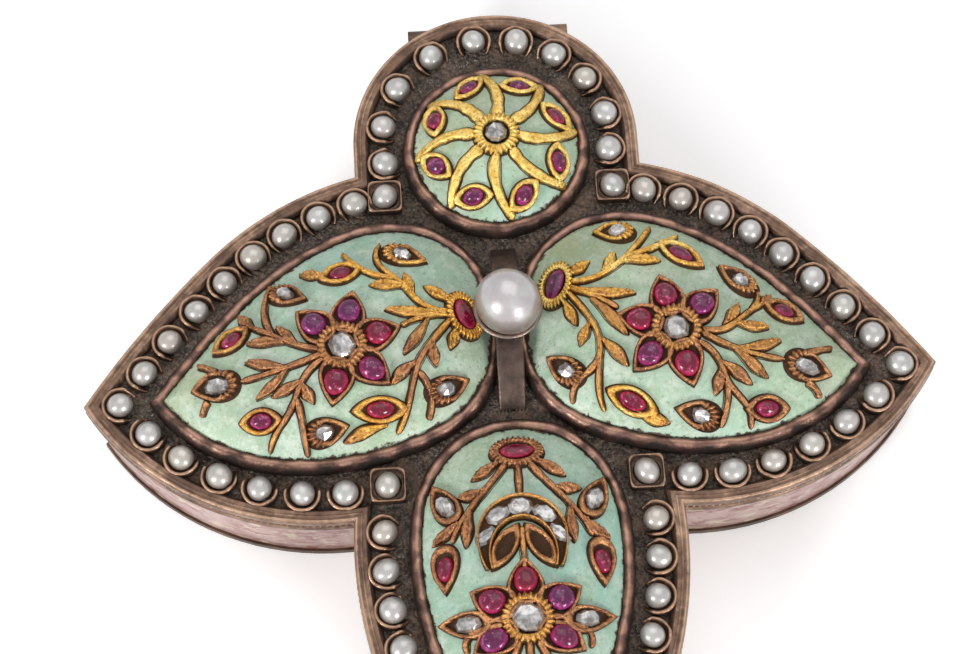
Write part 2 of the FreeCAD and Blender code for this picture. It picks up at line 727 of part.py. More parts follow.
# Pinwheel: one arm with its navette, turned round the hub
arm_faces = []
arm_openings = []
pinwheel_stones = []
for arm in range(pinwheel_arms):
    turn = (arm + 0.5) * 360.0 / pinwheel_arms
    path = [polar(back_centre, radius, turn + lag) for radius, lag in pinwheel_arm]
    arm_faces.append(strip(path, arm_width, arm_width * arm_taper))
    ends = [polar(back_centre, radius, turn + lag) for radius, lag in pinwheel_navette]
    arm_faces.append(leaf(ends, navette_width))
    arm_openings.append(inner_leaf(ends, navette_width))
    pinwheel_stones.append(navette_stone(back_boss, ends))
hub_disc = Part.Face(circle_wire(back_centre, pinwheel_hub_radius))
save("pinwheel_arms", back_boss.drape(joined(arm_faces, arm_openings + [hub_disc]), relief))
hub_ring = toothed_ring(back_centre, pinwheel_hub_radius, hub_stone_radius + stone_gap)
save("pinwheel_hub", back_boss.drape(hub_ring, collet_relief))
save("rubies_back", Part.makeCompound(pinwheel_stones))
save("diamond_back", rose_cut(back_boss, back_centre, hub_stone_radius, 0))


# Rim pearls in their collets
def pearl(place):
    centre = V(place.x, place.y, plate_top + pearl_sink)
    flat_angle = math.degrees(math.asin(pearl_sink / pearl_radius))
    return Part.makeSphere(pearl_radius, centre, UP, -flat_angle, 90)


def horseshoe(place, inward):
    """Collet with a round outer end and two legs that run towards the bosses."""
    outer = pearl_collet_radius
    inner = outer - pearl_collet_wall
    edges = [Part.Arc(V(0, outer, 0), V(-outer, 0, 0), V(0, -outer, 0)).toShape()]
    edges += [Part.makeLine(V(0, -outer, 0), V(pearl_collet_leg, -outer, 0))]
    edges += [Part.makeLine(V(pearl_collet_leg, -outer, 0), V(pearl_collet_leg, -inner, 0))]
    edges += [Part.makeLine(V(pearl_collet_leg, -inner, 0), V(0, -inner, 0))]
    edges += [Part.Arc(V(0, -inner, 0), V(-inner, 0, 0), V(0, inner, 0)).toShape()]
    edges += [Part.makeLine(V(0, inner, 0), V(pearl_collet_leg, inner, 0))]
    edges += [Part.makeLine(V(pearl_collet_leg, inner, 0), V(pearl_collet_leg, outer, 0))]
    edges += [Part.makeLine(V(pearl_collet_leg, outer, 0), V(0, outer, 0))]
    wall = Part.Face(Part.Wire(edges)).extrude(UP * pearl_collet_height)
    wall.rotate(V(0, 0, 0), UP, math.degrees(math.atan2(inward.y, inward.x)))
    wall.translate(V(place.x, place.y, plate_top))
    return wall


def frame_collet(place, inward):
    """Square collet for the corner pearls."""
    half = pearl_collet_radius
    inner = half - pearl_collet_wall
    wall = Part.makeBox(2 * half, 2 * half, pearl_collet_height, V(-half, -half, 0))
    wall = wall.cut(Part.makeBox(2 * inner, 2 * inner, pearl_collet_height, V(-inner, -inner, 0)))
    wall.rotate(V(0, 0, 0), UP, math.degrees(math.atan2(inward.y, inward.x)))
    wall.translate(V(place.x, place.y, plate_top))
    return wall


edge_of_lid = lid_edges()
lid_rim = Part.Wire(edge_of_lid)
shoulder_edge, upper_edge, lower_edge, front_edge = edge_of_lid[1:5]
pearl_line = lid_outline(pearl_line_inset)


def pearl_edge(lid_edge):
    """The stretch of the pearl line that runs beside the given stretch of the lid edge."""
    return min(pearl_line.Edges, key=lambda e: (e.CenterOfMass - lid_edge.CenterOfMass).Length)


def run_along(edges, count):
    """Places at even steps between two corner pearls, along stretches of the pearl line."""
    wire = Part.Wire(Part.__sortEdges__([pearl_edge(e) for e in edges]))
    return wire.discretize(count + 2)[1:-1]


def inward_at(place):
    on_rim = lid_rim.distToShape(Part.Vertex(place))[1][0][0]
    return place - on_rim


lower_ends = [v.Point for v in pearl_edge(lower_edge).Vertexes]
side_tip_place = max(lower_ends, key=lambda p: p.x)
front_corner = min(lower_ends, key=lambda p: p.x)
front_tip_place = min((v.Point for v in pearl_edge(front_edge).Vertexes), key=lambda p: p.y)
back_corner = min((v.Point for v in pearl_edge(shoulder_edge).Vertexes), key=lambda p: p.x)
right_places = run_along([shoulder_edge, upper_edge], pearls_upper)
right_places += run_along([lower_edge], pearls_lower)
front_places = run_along([front_edge], pearls_front)
arc_radius = back_lobe_radius - pearl_line_inset
arc_start = -math.degrees(math.asin(pearl_radius / arc_radius))
arc_step = (180.0 - 2 * arc_start) / (pearls_back - 1)
arc_centre = V(0, back_lobe_y, 0)
back_places = [polar(arc_centre, arc_radius, arc_start + arc_step * i) for i in range(pearls_back)]

right_pearls = [pearl(p) for p in right_places + [back_corner, front_corner, side_tip_place]]
right_collets = [horseshoe(p, inward_at(p)) for p in right_places]
right_collets += [frame_collet(back_corner, V(1, 0, 0)), frame_collet(front_corner, V(1, 0, 0))]
right_collets += [horseshoe(side_tip_place, V(-1, 0, 0))]
save("pearls_right", Part.makeCompound(right_pearls))
save("pearls_left", mirrored(Part.makeCompound(right_pearls)))
save("pearl_collets_right", Part.makeCompound(right_collets))
save("pearl_collets_left", mirrored(Part.makeCompound(right_collets)))
front_pearls = [pearl(p) for p in front_places]
front_collets = [horseshoe(p, inward_at(p)) for p in front_places]
front_pearls += [mirrored(p) for p in front_pearls] + [pearl(front_tip_place)]
front_collets += [mirrored(c) for c in front_collets] + [horseshoe(front_tip_place, V(0, 1, 0))]
save("pearls_front", Part.makeCompound(front_pearls))
save("pearl_collets_front", Part.makeCompound(front_collets))
save("pearls_back", Part.makeCompound([pearl(p) for p in back_places]))
save("pearl_collets_back", Part.makeCompound([horseshoe(p, arc_centre - p) for p in back_places]))

# Knob: arched strap, cup, peg and pearl
strap_rise = strap_top - plate_top
arch_radius = (strap_reach ** 2 + strap_rise ** 2) / (2 * strap_rise)
arch_start = V(-strap_width / 2, 0, strap_top - arch_radius)
arch = Part.makeCylinder(arch_radius, strap_width, arch_start, V(1, 0, 0))
arch = arch.cut(Part.makeCylinder(arch_radius - strap_thickness, strap_width, arch_start, V(1, 0, 0)))
above_plate = box_between(V(-strap_width, -arch_radius, plate_top), V(strap_width, arch_radius, knob_height))
strap = arch.common(above_plate)
knob_centre = V(0, 0, knob_height)
save("bridge_strap", strap)
cup = Part.makeSphere(knob_radius + cup_thickness, knob_centre)
cup = cup.cut(Part.makeSphere(knob_radius, knob_centre))
cup_top = knob_height - cup_rim_drop
cup = cup.common(box_between(V(-knob_radius * 2, -knob_radius * 2, strap_top),
                             V(knob_radius * 2, knob_radius * 2, cup_top)))
peg = Part.makeCylinder(peg_radius, knob_height - knob_radius + peg_depth - strap_top, V(0, 0, strap_top))
save("pearl_cup", cup.cut(peg))
save("pearl_peg", peg)
save("knob_pearl", Part.makeSphere(knob_radius, knob_centre).cut(peg))
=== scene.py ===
import math

import bmesh
import bpy
import numpy as np
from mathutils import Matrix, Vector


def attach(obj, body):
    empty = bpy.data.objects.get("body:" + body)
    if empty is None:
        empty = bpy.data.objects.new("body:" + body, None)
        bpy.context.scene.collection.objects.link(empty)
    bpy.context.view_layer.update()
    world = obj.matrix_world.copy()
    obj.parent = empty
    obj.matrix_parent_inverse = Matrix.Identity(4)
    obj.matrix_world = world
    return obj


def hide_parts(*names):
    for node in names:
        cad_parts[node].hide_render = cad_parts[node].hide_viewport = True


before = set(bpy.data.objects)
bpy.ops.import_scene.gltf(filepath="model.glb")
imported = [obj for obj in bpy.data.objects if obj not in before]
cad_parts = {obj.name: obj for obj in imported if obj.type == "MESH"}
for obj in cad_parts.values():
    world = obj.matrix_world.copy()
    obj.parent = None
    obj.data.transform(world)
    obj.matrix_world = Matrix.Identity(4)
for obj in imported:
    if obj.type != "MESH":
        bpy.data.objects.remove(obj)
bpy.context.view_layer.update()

# Jeweled box with a hinged, four-lobed lid. Sizes are millimetres until a mesh is made.
MM = 0.001
TURN = 2 * math.pi
merge_distance = 2e-6
rng = np.random.default_rng(7)

# Lid edge in plan and the levels of the lid
back_lobe_radius = 14.2
back_lobe_y = 20.4
back_notch = (14.2, 17.0)
shoulder = (28.5, 9.05)
side_tip = (41.0, -6.0)
front_notch = (15.6, -19.0)
front_tip = (0.0, -53.8)
side_bulge = 0.0005
shoulder_bulge = 1.11
upper_bulge = 0.49
lower_bulge = 4.0
front_bulge = 4.8
plate_top = 10.4
boss_base = 11.4

# Bosses
side_boss = [(34.45, -6.07), (25.5, 4.3), (17.8, 9.7), (10.9, 11.4), (4.4, 8.9), (0.8, 0.4),
             (3.4, -8.4), (10.0, -12.3), (18.6, -13.85), (27.0, -12.3)]
side_centre = (15.9, -2.8)
side_rise = 3.7
front_boss_side = [(5.9, -39.6), (9.3, -31.0), (10.3, -22.2), (8.9, -15.5), (5.0, -11.2)]
front_boss_tip = (0.0, -47.2)
front_boss_top = (0.0, -9.9)
front_centre = (0.0, -30.5)
front_rise = 3.5
back_boss_radius = 9.1
back_centre = (0.0, 19.0)
back_rise = 3.4
bezel_width = 0.75
side_bezel_sink = 0.45
chip_share = 0.72
dome_power = 0.75

# Enamel tints of each boss: soft round patches (x, y, reach, amount) of warm olive, then of blue-green
enamel_tints = {
    "left": ([(31.5, -6.0, 5.0, 0.7), (5.5, -6.0, 5.5, 0.55), (11.0, -12.0, 5.0, 0.4)],
             [(14.0, 7.0, 8.0, 0.7)]),
    "right": ([(7.0, 8.0, 6.0, 0.95), (15.0, 7.5, 5.0, 0.6), (22.0, -5.0, 9.0, 0.4),
               (32.0, -7.0, 5.0, 0.6)], [(20.0, -11.0, 6.0, 0.4)]),
    "front": ([(-5.0, -14.0, 4.0, 0.35)], [(6.0, -24.0, 8.0, 1.0), (-5.0, -27.0, 6.0, 0.6)]),
    "back": ([(-1.5, 21.0, 8.0, 0.6)], [(3.0, 12.0, 4.5, 0.8)])}

# Raised metalwork
relief = 0.55
buried = 0.15
seam = 0.13
stem_width = 0.66
leaf_width = 1.08
leaf_width_spread = (0.9, 1.1)
leaf_bend = (0.03, 0.09)
petal_root = 1.2
petal_reach = 5.8
petal_width = 3.4
petal_stone_place = 3.6
petal_stone = (1.28, 1.14)
navette_width = 2.3
navette_stone = 0.72
navette_stone_share = 0.25
navette_stone_rise = 0.62
bud_width = 2.5
bud_stone = (1.02, 0.78)
bud_stone_place = 0.44
pear_width = 3.0
pear_stone = (1.35, 0.8)
pear_stone_place = 0.46
collet_radius = 2.45
collet_opening = 1.62
side_diamond = 1.4
front_diamond = 1.52
collet_teeth = 27
oval_collet = (2.6, 1.6)
oval_stone = (1.6, 0.76)
oval_opening = 0.62
oval_teeth = 30
oval_turn = 72.0
rose_step = 60.0
side_turn = -18.0
front_turn = -90.0

# Rim pearls and knob
pearl_radius = 1.25
pearl_size_spread = (0.93, 1.05)
pearl_line = 2.9
pearl_sink = 0.65
pearls_upper = 8
pearls_lower = 6
pearls_front = 9
upper_shift = 0.7
front_shift = -0.9
back_pearl_turns = (-8.6, 11.6, 34.0, 55.0, 76.0, 98.0, 122.0, 147.0, 170.0, 191.0)
pearl_collet = 1.6
pearl_leg = 1.2
pearl_leg_pinch = 0.28
pearl_wall = 0.43
pearl_wall_height = 1.0
knob_radius = 3.15
knob_height = 17.2
strap_width = 2.6
strap_thickness = 0.6
strap_reach = 8.6
strap_top = 13.85
cup_foot = 1.17
cup_thickness = 0.4
cup_hole = 0.5
cup_play = 0.03

# Left spray, seen as in a mirror so that x runs outwards on both sides
left_oval = (4.3, 0.45)
left_stems = [
    [(5.2, 0.9), (8.8, 2.02), (10.16, 3.78), (11.83, 5.44), (11.93, 8.58)],
    [(10.6, 4.2), (13.95, 5.56), (15.66, 7.66)], [(5.3, 0.6), (8.6, -0.1), (10.3, -0.9)],
    [(5.3, 0.3), (7.58, -2.58), (8.82, -4.63), (9.5, -6.85), (11.2, -11.0)],
    [(8.9, -5.4), (7.8, -7.4), (8.15, -9.75)],
    [(17.6, -3.1), (21.33, -1.83), (23.25, -0.66), (24.91, 0.36)],
    [(22.4, -1.3), (23.2, 0.8), (22.56, 4.93)], [(17.6, -3.4), (21.88, -4.79), (25.73, -5.55)],
    [(17.3, -3.9), (20.04, -6.49), (21.2, -8.9), (22.4, -10.4), (23.2, -12.2)],
    [(20.4, -7.6), (19.9, -10.4), (19.63, -12.7)],
    [(27.93, -4.32), (28.62, -3.84), (29.82, -3.09)], [(28.87, -6.94), (29.18, -7.46), (29.51, -8.32)]]
left_leaves = [
    [(5.27, 1.65), (7.98, 3.15)], [(9.0, 2.3), (9.93, 4.7)], [(9.6, 3.3), (13.05, 3.28)],
    [(6.0, 0.7), (11.7, 1.03)], [(7.6, 0.1), (10.29, -3.66)], [(5.0, -0.6), (5.9, -3.0)],
    [(7.4, -2.2), (6.94, -4.85)], [(8.8, -4.4), (11.29, -6.85)], [(12.0, -10.2), (16.08, -11.87)],
    [(20.2, -2.3), (21.98, -0.19)], [(21.3, -2.1), (25.0, -1.94)], [(24.3, 0.0), (25.62, 1.89)],
    [(21.2, -4.6), (25.11, -3.6)], [(21.0, -4.6), (24.35, -7.23)], [(19.6, -5.9), (22.65, -7.5)],
    [(19.9, -6.2), (19.08, -8.24)], [(17.2, 5.0), (19.8, 5.3)]]
left_navettes = [[(13.8, 5.6), (17.9, 4.6)], [(10.0, -8.8), (15.26, -9.06)],
                 [(24.8, 0.2), (28.24, -2.19)], [(21.9, -9.4), (25.89, -9.35)]]
left_buds = [[(11.9, 7.7), (7.56, 6.17)], [(8.2, -7.9), (4.15, -5.89)],
             [(22.9, 4.1), (19.2, 2.5)], [(19.8, -11.1), (15.7, -10.27)]]
left_pear = [(25.73, -5.55), (30.39, -5.87)]
left_gilding = [(4.3, 0.6, 4.2, 0.8), (9.0, 3.0, 4.0, 0.75), (14.5, 5.6, 4.5, 0.7),
                (13.0, -9.5, 3.2, 0.75), (24.5, -10.0, 2.5, 0.55), (27.0, -0.8, 2.0, 0.5)]
left_gold = {"least": 0.10, "collet": 0.24, "petals": 0.03, "root": 0.72}
left_petal_hues = [1.0, 1.0, 0.05, 0.65, 0.15]
left_navette_hues = [0.2, 0.0, 0.1, 0.55]
left_oval_hue = 0.0

# Right spray
right_oval = (4.9, 3.1)
right_stems = [
    [(5.8, 3.4), (9.6, 3.73), (11.66, 5.24), (12.4, 6.01), (14.47, 9.06)],
    [(11.66, 5.24), (15.4, 6.75), (17.1, 7.87)], [(5.8, 2.8), (8.6, 1.2), (10.6, -0.3)],
    [(5.8, 2.4), (7.98, -1.24), (8.53, -2.87), (8.43, -5.54), (8.7, -9.9)],
    [(8.5, -4.4), (7.6, -6.0), (6.4, -6.9), (5.8, -8.8)],
    [(18.2, -3.0), (21.54, -2.46), (23.15, -1.1), (24.74, -0.19)],
    [(23.3, -1.0), (24.0, 0.2), (24.1, 1.1)], [(18.2, -3.3), (22.22, -5.35), (26.02, -6.13)],
    [(17.6, -4.2), (19.9, -6.74), (20.54, -8.44), (22.11, -10.4), (22.3, -12.31)],
    [(20.3, -7.8), (20.2, -10.0), (19.4, -12.1)],
    [(28.12, -5.59), (29.0, -5.3), (30.8, -4.78)], [(27.91, -8.15), (28.5, -8.5), (29.2, -9.53)]]
right_leaves = [
    [(5.9, 3.9), (8.26, 4.96)], [(9.4, 3.8), (10.46, 5.97)], [(11.0, 4.8), (14.96, 4.41)],
    [(6.2, 2.5), (12.38, 1.4)], [(8.0, 1.2), (11.06, -3.2)], [(5.4, 1.6), (6.35, -1.5)],
    [(7.9, -1.3), (6.96, -3.64)], [(8.6, -3.0), (10.84, -6.22)], [(11.6, -10.2), (14.69, -11.22)],
    [(20.4, -2.7), (21.86, -0.34)], [(21.4, -2.4), (24.72, -2.73)], [(24.2, -0.5), (25.17, 0.82)],
    [(21.4, -5.0), (25.72, -4.14)], [(21.2, -5.1), (24.03, -8.03)], [(19.6, -6.2), (22.44, -8.67)],
    [(19.9, -6.6), (18.87, -9.2)]]
right_navettes = [[(15.0, 6.9), (19.11, 3.92)], [(9.0, -8.0), (13.6, -10.6)],
                  [(24.6, 0.0), (28.31, -1.86)], [(21.9, -10.6), (26.09, -10.52)]]
right_buds = [[(13.0, 8.3), (8.9, 8.6)], [(6.8, -7.1), (3.6, -4.1)],
              [(24.1, 1.0), (20.6, 4.0)], [(19.6, -11.5), (15.3, -10.3)]]
right_pear = [(26.02, -6.13), (30.43, -7.47)]
right_gilding = [(4.6, 3.2, 4.5, 1.0), (10.5, 5.5, 4.5, 1.0), (16.0, 6.5, 4.0, 1.0),
                 (11.5, -9.5, 3.4, 0.95), (8.5, -2.5, 4.0, 0.5), (23.0, -2.5, 5.0, 0.45)]
right_gold = {"least": 0.14, "collet": 0.30, "petals": 0.06, "root": 1.0}
right_petal_hues = [0.85, 0.2, 0.05, 0.75, 0.1]
right_navette_hues = [0.45, 0.1, 0.25, 0.2]
right_oval_hue = 0.9

# Front spray, right half; the left half is its mirror image
front_oval = (0.0, -13.8)
front_stems = [[(0.9, -14.6), (3.0, -17.4), (5.0, -19.9), (6.5, -22.6)],
               [(2.2, -31.0), (4.2, -31.2), (5.5, -31.8), (5.5, -33.2)],
               [(0.8, -32.4), (2.3, -35.0), (3.9, -36.2)]]
front_middle_stems = [[(0.0, -14.6), (0.0, -18.6)], [(0.0, -21.6), (0.0, -26.0)],
                      [(0.0, -32.4), (0.0, -39.0)]]
front_leaves = [[(1.5, -14.6), (4.2, -16.6)], [(3.2, -17.6), (5.7, -18.0)], [(4.6, -19.4), (5.0, -23.2)],
                [(5.6, -20.6), (8.1, -22.6)], [(1.7, -34.2), (2.1, -38.2)]]
front_navettes = [[(7.1, -22.7), (7.25, -27.3)], [(3.6, -35.9), (4.7, -39.7)]]
front_navette_width = 2.45
front_buds = [[(6.1, -20.6), (7.9, -16.5)], [(3.3, -30.9), (8.0, -30.1)]]
front_bud_stone = (1.3, 0.9)
front_pear = [(0.0, -38.2), (0.0, -44.2)]
front_gilding = [(0.0, -30.5, 2.6, 0.55), (0.0, -22.5, 3.0, 0.35)]
front_gold = {"least": 0.12, "collet": 0.42, "petals": 0.08, "root": 0.05, "crescent": 0.36, "loops": 0.2}
front_petal_hues = [0.6, 0.95, 0.0, 0.3, 0.85]
front_navette_hues = [0.1, 0.3, 0.15, 0.3]
front_oval_hue = 0.05
crescent_centre = (0.0, -22.5)
crescent_radius = 4.1
crescent_leg = 5.2
crescent_bite = (2.95, 3.6)
crescent_drop = 1.9
crescent_ends = (38.0, 21.0)
crescent_stones = 5
crescent_spread = 40.0
crescent_stone_gap = 0.2
crescent_stone_length = 1.25
loop_leaf = [(0.35, -21.4), (2.9, -25.6)]
loop_leaf_width = 2.1

# Pinwheel: distance from the centre and angle from the arm's own direction
pinwheel_arms = 8
pinwheel_arm = [(1.9, -23.0), (3.6, -29.0), (5.6, -24.0), (8.0, -13.0)]
pinwheel_navette = [(7.35, -15.0), (5.9, 16.5)]
pinwheel_navette_width = 2.15
pinwheel_arm_width = 1.2
pinwheel_hub = 2.3
pinwheel_hub_opening = 0.56
pinwheel_diamond = 1.1
pinwheel_stone_hues = [0.2, 0.7, 0.6, 0.3, 0.95, 0.9, 0.7, 0.6]


# Curves and fields
def smooth_path(points, count):
    """Even steps along a cubic spline through the points, worked out as piecewise cubic arcs whose
    slopes match at each point; the end slopes are those of the cubic through the nearest four."""
    p = np.asarray(points, float)
    t = np.concatenate([[0.0], np.cumsum(np.linalg.norm(np.diff(p, axis=0), axis=1))])
    n = len(p)
    h = np.diff(t)
    near = min(n, 4)
    first = np.linalg.solve(np.vander(t[:near], near, increasing=True), p[:near])
    last = np.linalg.solve(np.vander(t[-near:] - t[-1], near, increasing=True), p[-near:])
    system = np.eye(n)
    known = np.zeros_like(p)
    known[0] = first[1]
    known[-1] = last[1]
    inner = np.arange(1, n - 1)
    system[inner, inner - 1] = 1 / h[:-1]
    system[inner, inner] = 2 / h[:-1] + 2 / h[1:]
    system[inner, inner + 1] = 1 / h[1:]
    rise = np.diff(p, axis=0) / h[:, None]
    known[1:-1] = 3 * (rise[:-1] / h[:-1, None] + rise[1:] / h[1:, None])
    slope = np.linalg.solve(system, known)
    s = np.linspace(0, t[-1], count)
    k = np.clip(np.searchsorted(t, s, "right") - 1, 0, n - 2)
    u = ((s - t[k]) / h[k])[:, None]
    step = h[k][:, None]
    return ((1 + 2 * u) * (1 - u) ** 2 * p[k] + u * (1 - u) ** 2 * step * slope[k]
            + u ** 2 * (3 - 2 * u) * p[k + 1] + u ** 2 * (u - 1) * step * slope[k + 1])


def left_normal(path):
    """Unit vectors square to a plan path, on its left."""
    along = np.gradient(path, axis=0)
    along /= np.linalg.norm(along, axis=1)[:, None] + 1e-9
    return np.stack([-along[:, 1], along[:, 0]], axis=1)


def smoothstep(low, high, x):
    """0 below low, 1 above high and 3 s squared - 2 s cubed between."""
    s = np.clip((x - low) / (high - low), 0, 1)
    return s * s * (3 - 2 * s)


def wobble(x, y, length, seed, waves=7):
    """Unevenness, mostly from -1 to 1: twice the mean of sine waves that run in different directions."""
    draw = np.random.default_rng(seed)
    heading = draw.uniform(0, TURN, waves)
    phase = draw.uniform(0, TURN, waves)
    pitch = length * draw.uniform(0.7, 1.5, waves)
    total = 0.0
    for a, p, w in zip(heading, phase, pitch):
        total = total + np.sin((x * math.cos(a) + y * math.sin(a)) * TURN / w + p)
    return total / (waves / 2)


def rounded(count):
    """Shares from 0 to 1, closer together at both ends."""
    return (1 - np.cos(np.linspace(0, math.pi, count))) / 2


def leaf_outline(points, inset, count):
    """Closed spline through the points with a sharp corner at the first. An inset moves each point
    along the curve's normal, and the corner along its bisector, before the spline is drawn again."""
    ring = np.asarray(points + points[:1], float)
    if inset:
        dense = smooth_path(ring, 2000)
        normal = left_normal(dense)
        spot = np.argmin(np.linalg.norm(dense[None] - ring[1:-1, None], axis=2), axis=1)
        moved = ring[1:-1] + normal[spot] * inset
        corner = normal[0] + normal[-1]
        corner = ring[0] + corner / (corner @ normal[0]) * inset
        ring = np.concatenate([corner[None], moved, corner[None]])
    return smooth_path(ring, count + 1)[:-1]


def circle(centre, radius, count):
    """Even points round a circle."""
    a = np.arange(count) * TURN / count
    return np.stack([centre[0] + radius * np.cos(a), centre[1] + radius * np.sin(a)], axis=1)


def placed(centre, turn, px, py):
    """Plan points turned by an angle in radians and moved to a centre."""
    c = math.cos(turn)
    s = math.sin(turn)
    return centre[0] + c * px - s * py, centre[1] + s * px + c * py


# Lid edge: circular arcs, each known by its centre and radius
def arc_circle(start, end, bulge):
    """Centre and radius of the arc from start to end that bulges to the right by the given height."""
    a = np.array(start)
    b = np.array(end)
    chord = np.linalg.norm(b - a)
    radius = (chord ** 2 / 4 + bulge ** 2) / (2 * bulge)
    right = np.array([(b - a)[1], -(b - a)[0]]) / chord
    return (a + b) / 2 - right * (radius - bulge), radius


def crossing(one, other, near):
    """Meeting point, nearest to the given one, of two circles."""
    gap = other[0] - one[0]
    d = np.linalg.norm(gap)
    along = (d ** 2 + one[1] ** 2 - other[1] ** 2) / (2 * d)
    side = math.sqrt(max(one[1] ** 2 - along ** 2, 0))
    foot = one[0] + gap / d * along
    offset = np.array([-gap[1], gap[0]]) / d * side
    return min((foot + offset, foot - offset), key=lambda p: np.linalg.norm(p - near))


half_corners = [front_tip, front_notch, side_tip, shoulder, back_notch, (back_lobe_radius, back_lobe_y)]
half_bulges = [front_bulge, lower_bulge, upper_bulge, shoulder_bulge, side_bulge]


def inset_edges(inset):
    """Arcs of the right half of the lid edge moved inwards, with their end points, from the front tip."""
    circles = [arc_circle(a, b, k) for a, b, k in zip(half_corners, half_corners[1:], half_bulges)]
    circles = [(c, r - inset) for c, r in circles]
    mirror = (circles[0][0] * [-1, 1], circles[0][1])
    ends = [crossing(mirror, circles[0], np.array(front_tip))]
    for one, other, corner in zip(circles, circles[1:], half_corners[1:]):
        ends.append(crossing(one, other, np.array(corner)))
    ends.append(np.array([back_lobe_radius - inset, back_lobe_y]))
    return list(zip(circles, ends, ends[1:]))


def arc_points(edge, shares):
    """Points at the given shares of the way along an arc."""
    (centre, radius), start, end = edge
    first = math.atan2(*(start - centre)[::-1])
    sweep = (math.atan2(*(end - centre)[::-1]) - first + math.pi) % TURN - math.pi
    angle = first + sweep * shares
    return centre + radius * np.stack([np.cos(angle), np.sin(angle)], axis=1)


def lid_loop(inset, edge_steps=(64, 48, 24, 28, 8), lobe_steps=72):
    """Closed plan curve of the lid edge moved inwards; every inset has its points in step."""
    right = [arc_points(edge, rounded(n + 1)[:-1]) for edge, n in zip(inset_edges(inset), edge_steps)]
    right = np.concatenate(right)
    angle = np.arange(lobe_steps + 1) * math.pi / lobe_steps
    lobe = (back_lobe_radius - inset) * np.stack([np.cos(angle), np.sin(angle)], axis=1)
    lobe[:, 1] += back_lobe_y
    return np.concatenate([right, lobe, right[:0:-1] * [-1, 1]])


# Bosses
class Boss:
    """Domed boss. A point's share s runs from 0 at the centre to 1 at the edge in its own direction,
    and the dome there stands at base + rise * (1 - s squared) ** power."""

    def __init__(self, outline, centre, rise):
        self.outline = outline
        self.centre = np.array(centre)
        self.rise = rise
        reach = outline(bezel_width, 720) - self.centre
        angle = np.arctan2(reach[:, 1], reach[:, 0])
        order = np.argsort(angle)
        self.angles = np.concatenate([angle[order] - TURN, angle[order], angle[order] + TURN])
        self.reaches = np.tile(np.linalg.norm(reach, axis=1)[order], 3)

    def height(self, x, y):
        """Level of the dome over plan points."""
        dx = x - self.centre[0]
        dy = y - self.centre[1]
        share = np.hypot(dx, dy) / np.interp(np.arctan2(dy, dx), self.angles, self.reaches)
        return boss_base + self.rise * np.clip(1 - share ** 2, 0, 1) ** dome_power

    def lift(self, x, y, h, step=0.25, steepest=0.9):
        """Points that stand h off the dome, along its normal."""
        rise_x = self.height(x + step, y) - self.height(x - step, y)
        rise_y = self.height(x, y + step) - self.height(x, y - step)
        slope_x = np.clip(rise_x / (2 * step), -steepest, steepest)
        slope_y = np.clip(rise_y / (2 * step), -steepest, steepest)
        length = np.sqrt(slope_x ** 2 + slope_y ** 2 + 1)
        return np.stack([x - slope_x * h / length, y - slope_y * h / length,
                         self.height(x, y) + h / length], axis=-1)


def side_outline(inset, count):
    """Edge of a side boss, as it lies on the right."""
    return leaf_outline(side_boss, inset, count)


def front_outline(inset, count):
    """Edge of the front boss: its right side and the mirror image of that."""
    left = [(-x, y) for x, y in reversed(front_boss_side)]
    return leaf_outline([front_boss_tip] + front_boss_side + [front_boss_top] + left, inset, count)


def back_outline(inset, count):
    """Edge of the back boss: a circle."""
    return circle(back_centre, back_boss_radius - inset, count)


side = Boss(side_outline, side_centre, side_rise)
front = Boss(front_outline, front_centre, front_rise)
back = Boss(back_outline, back_centre, back_rise)


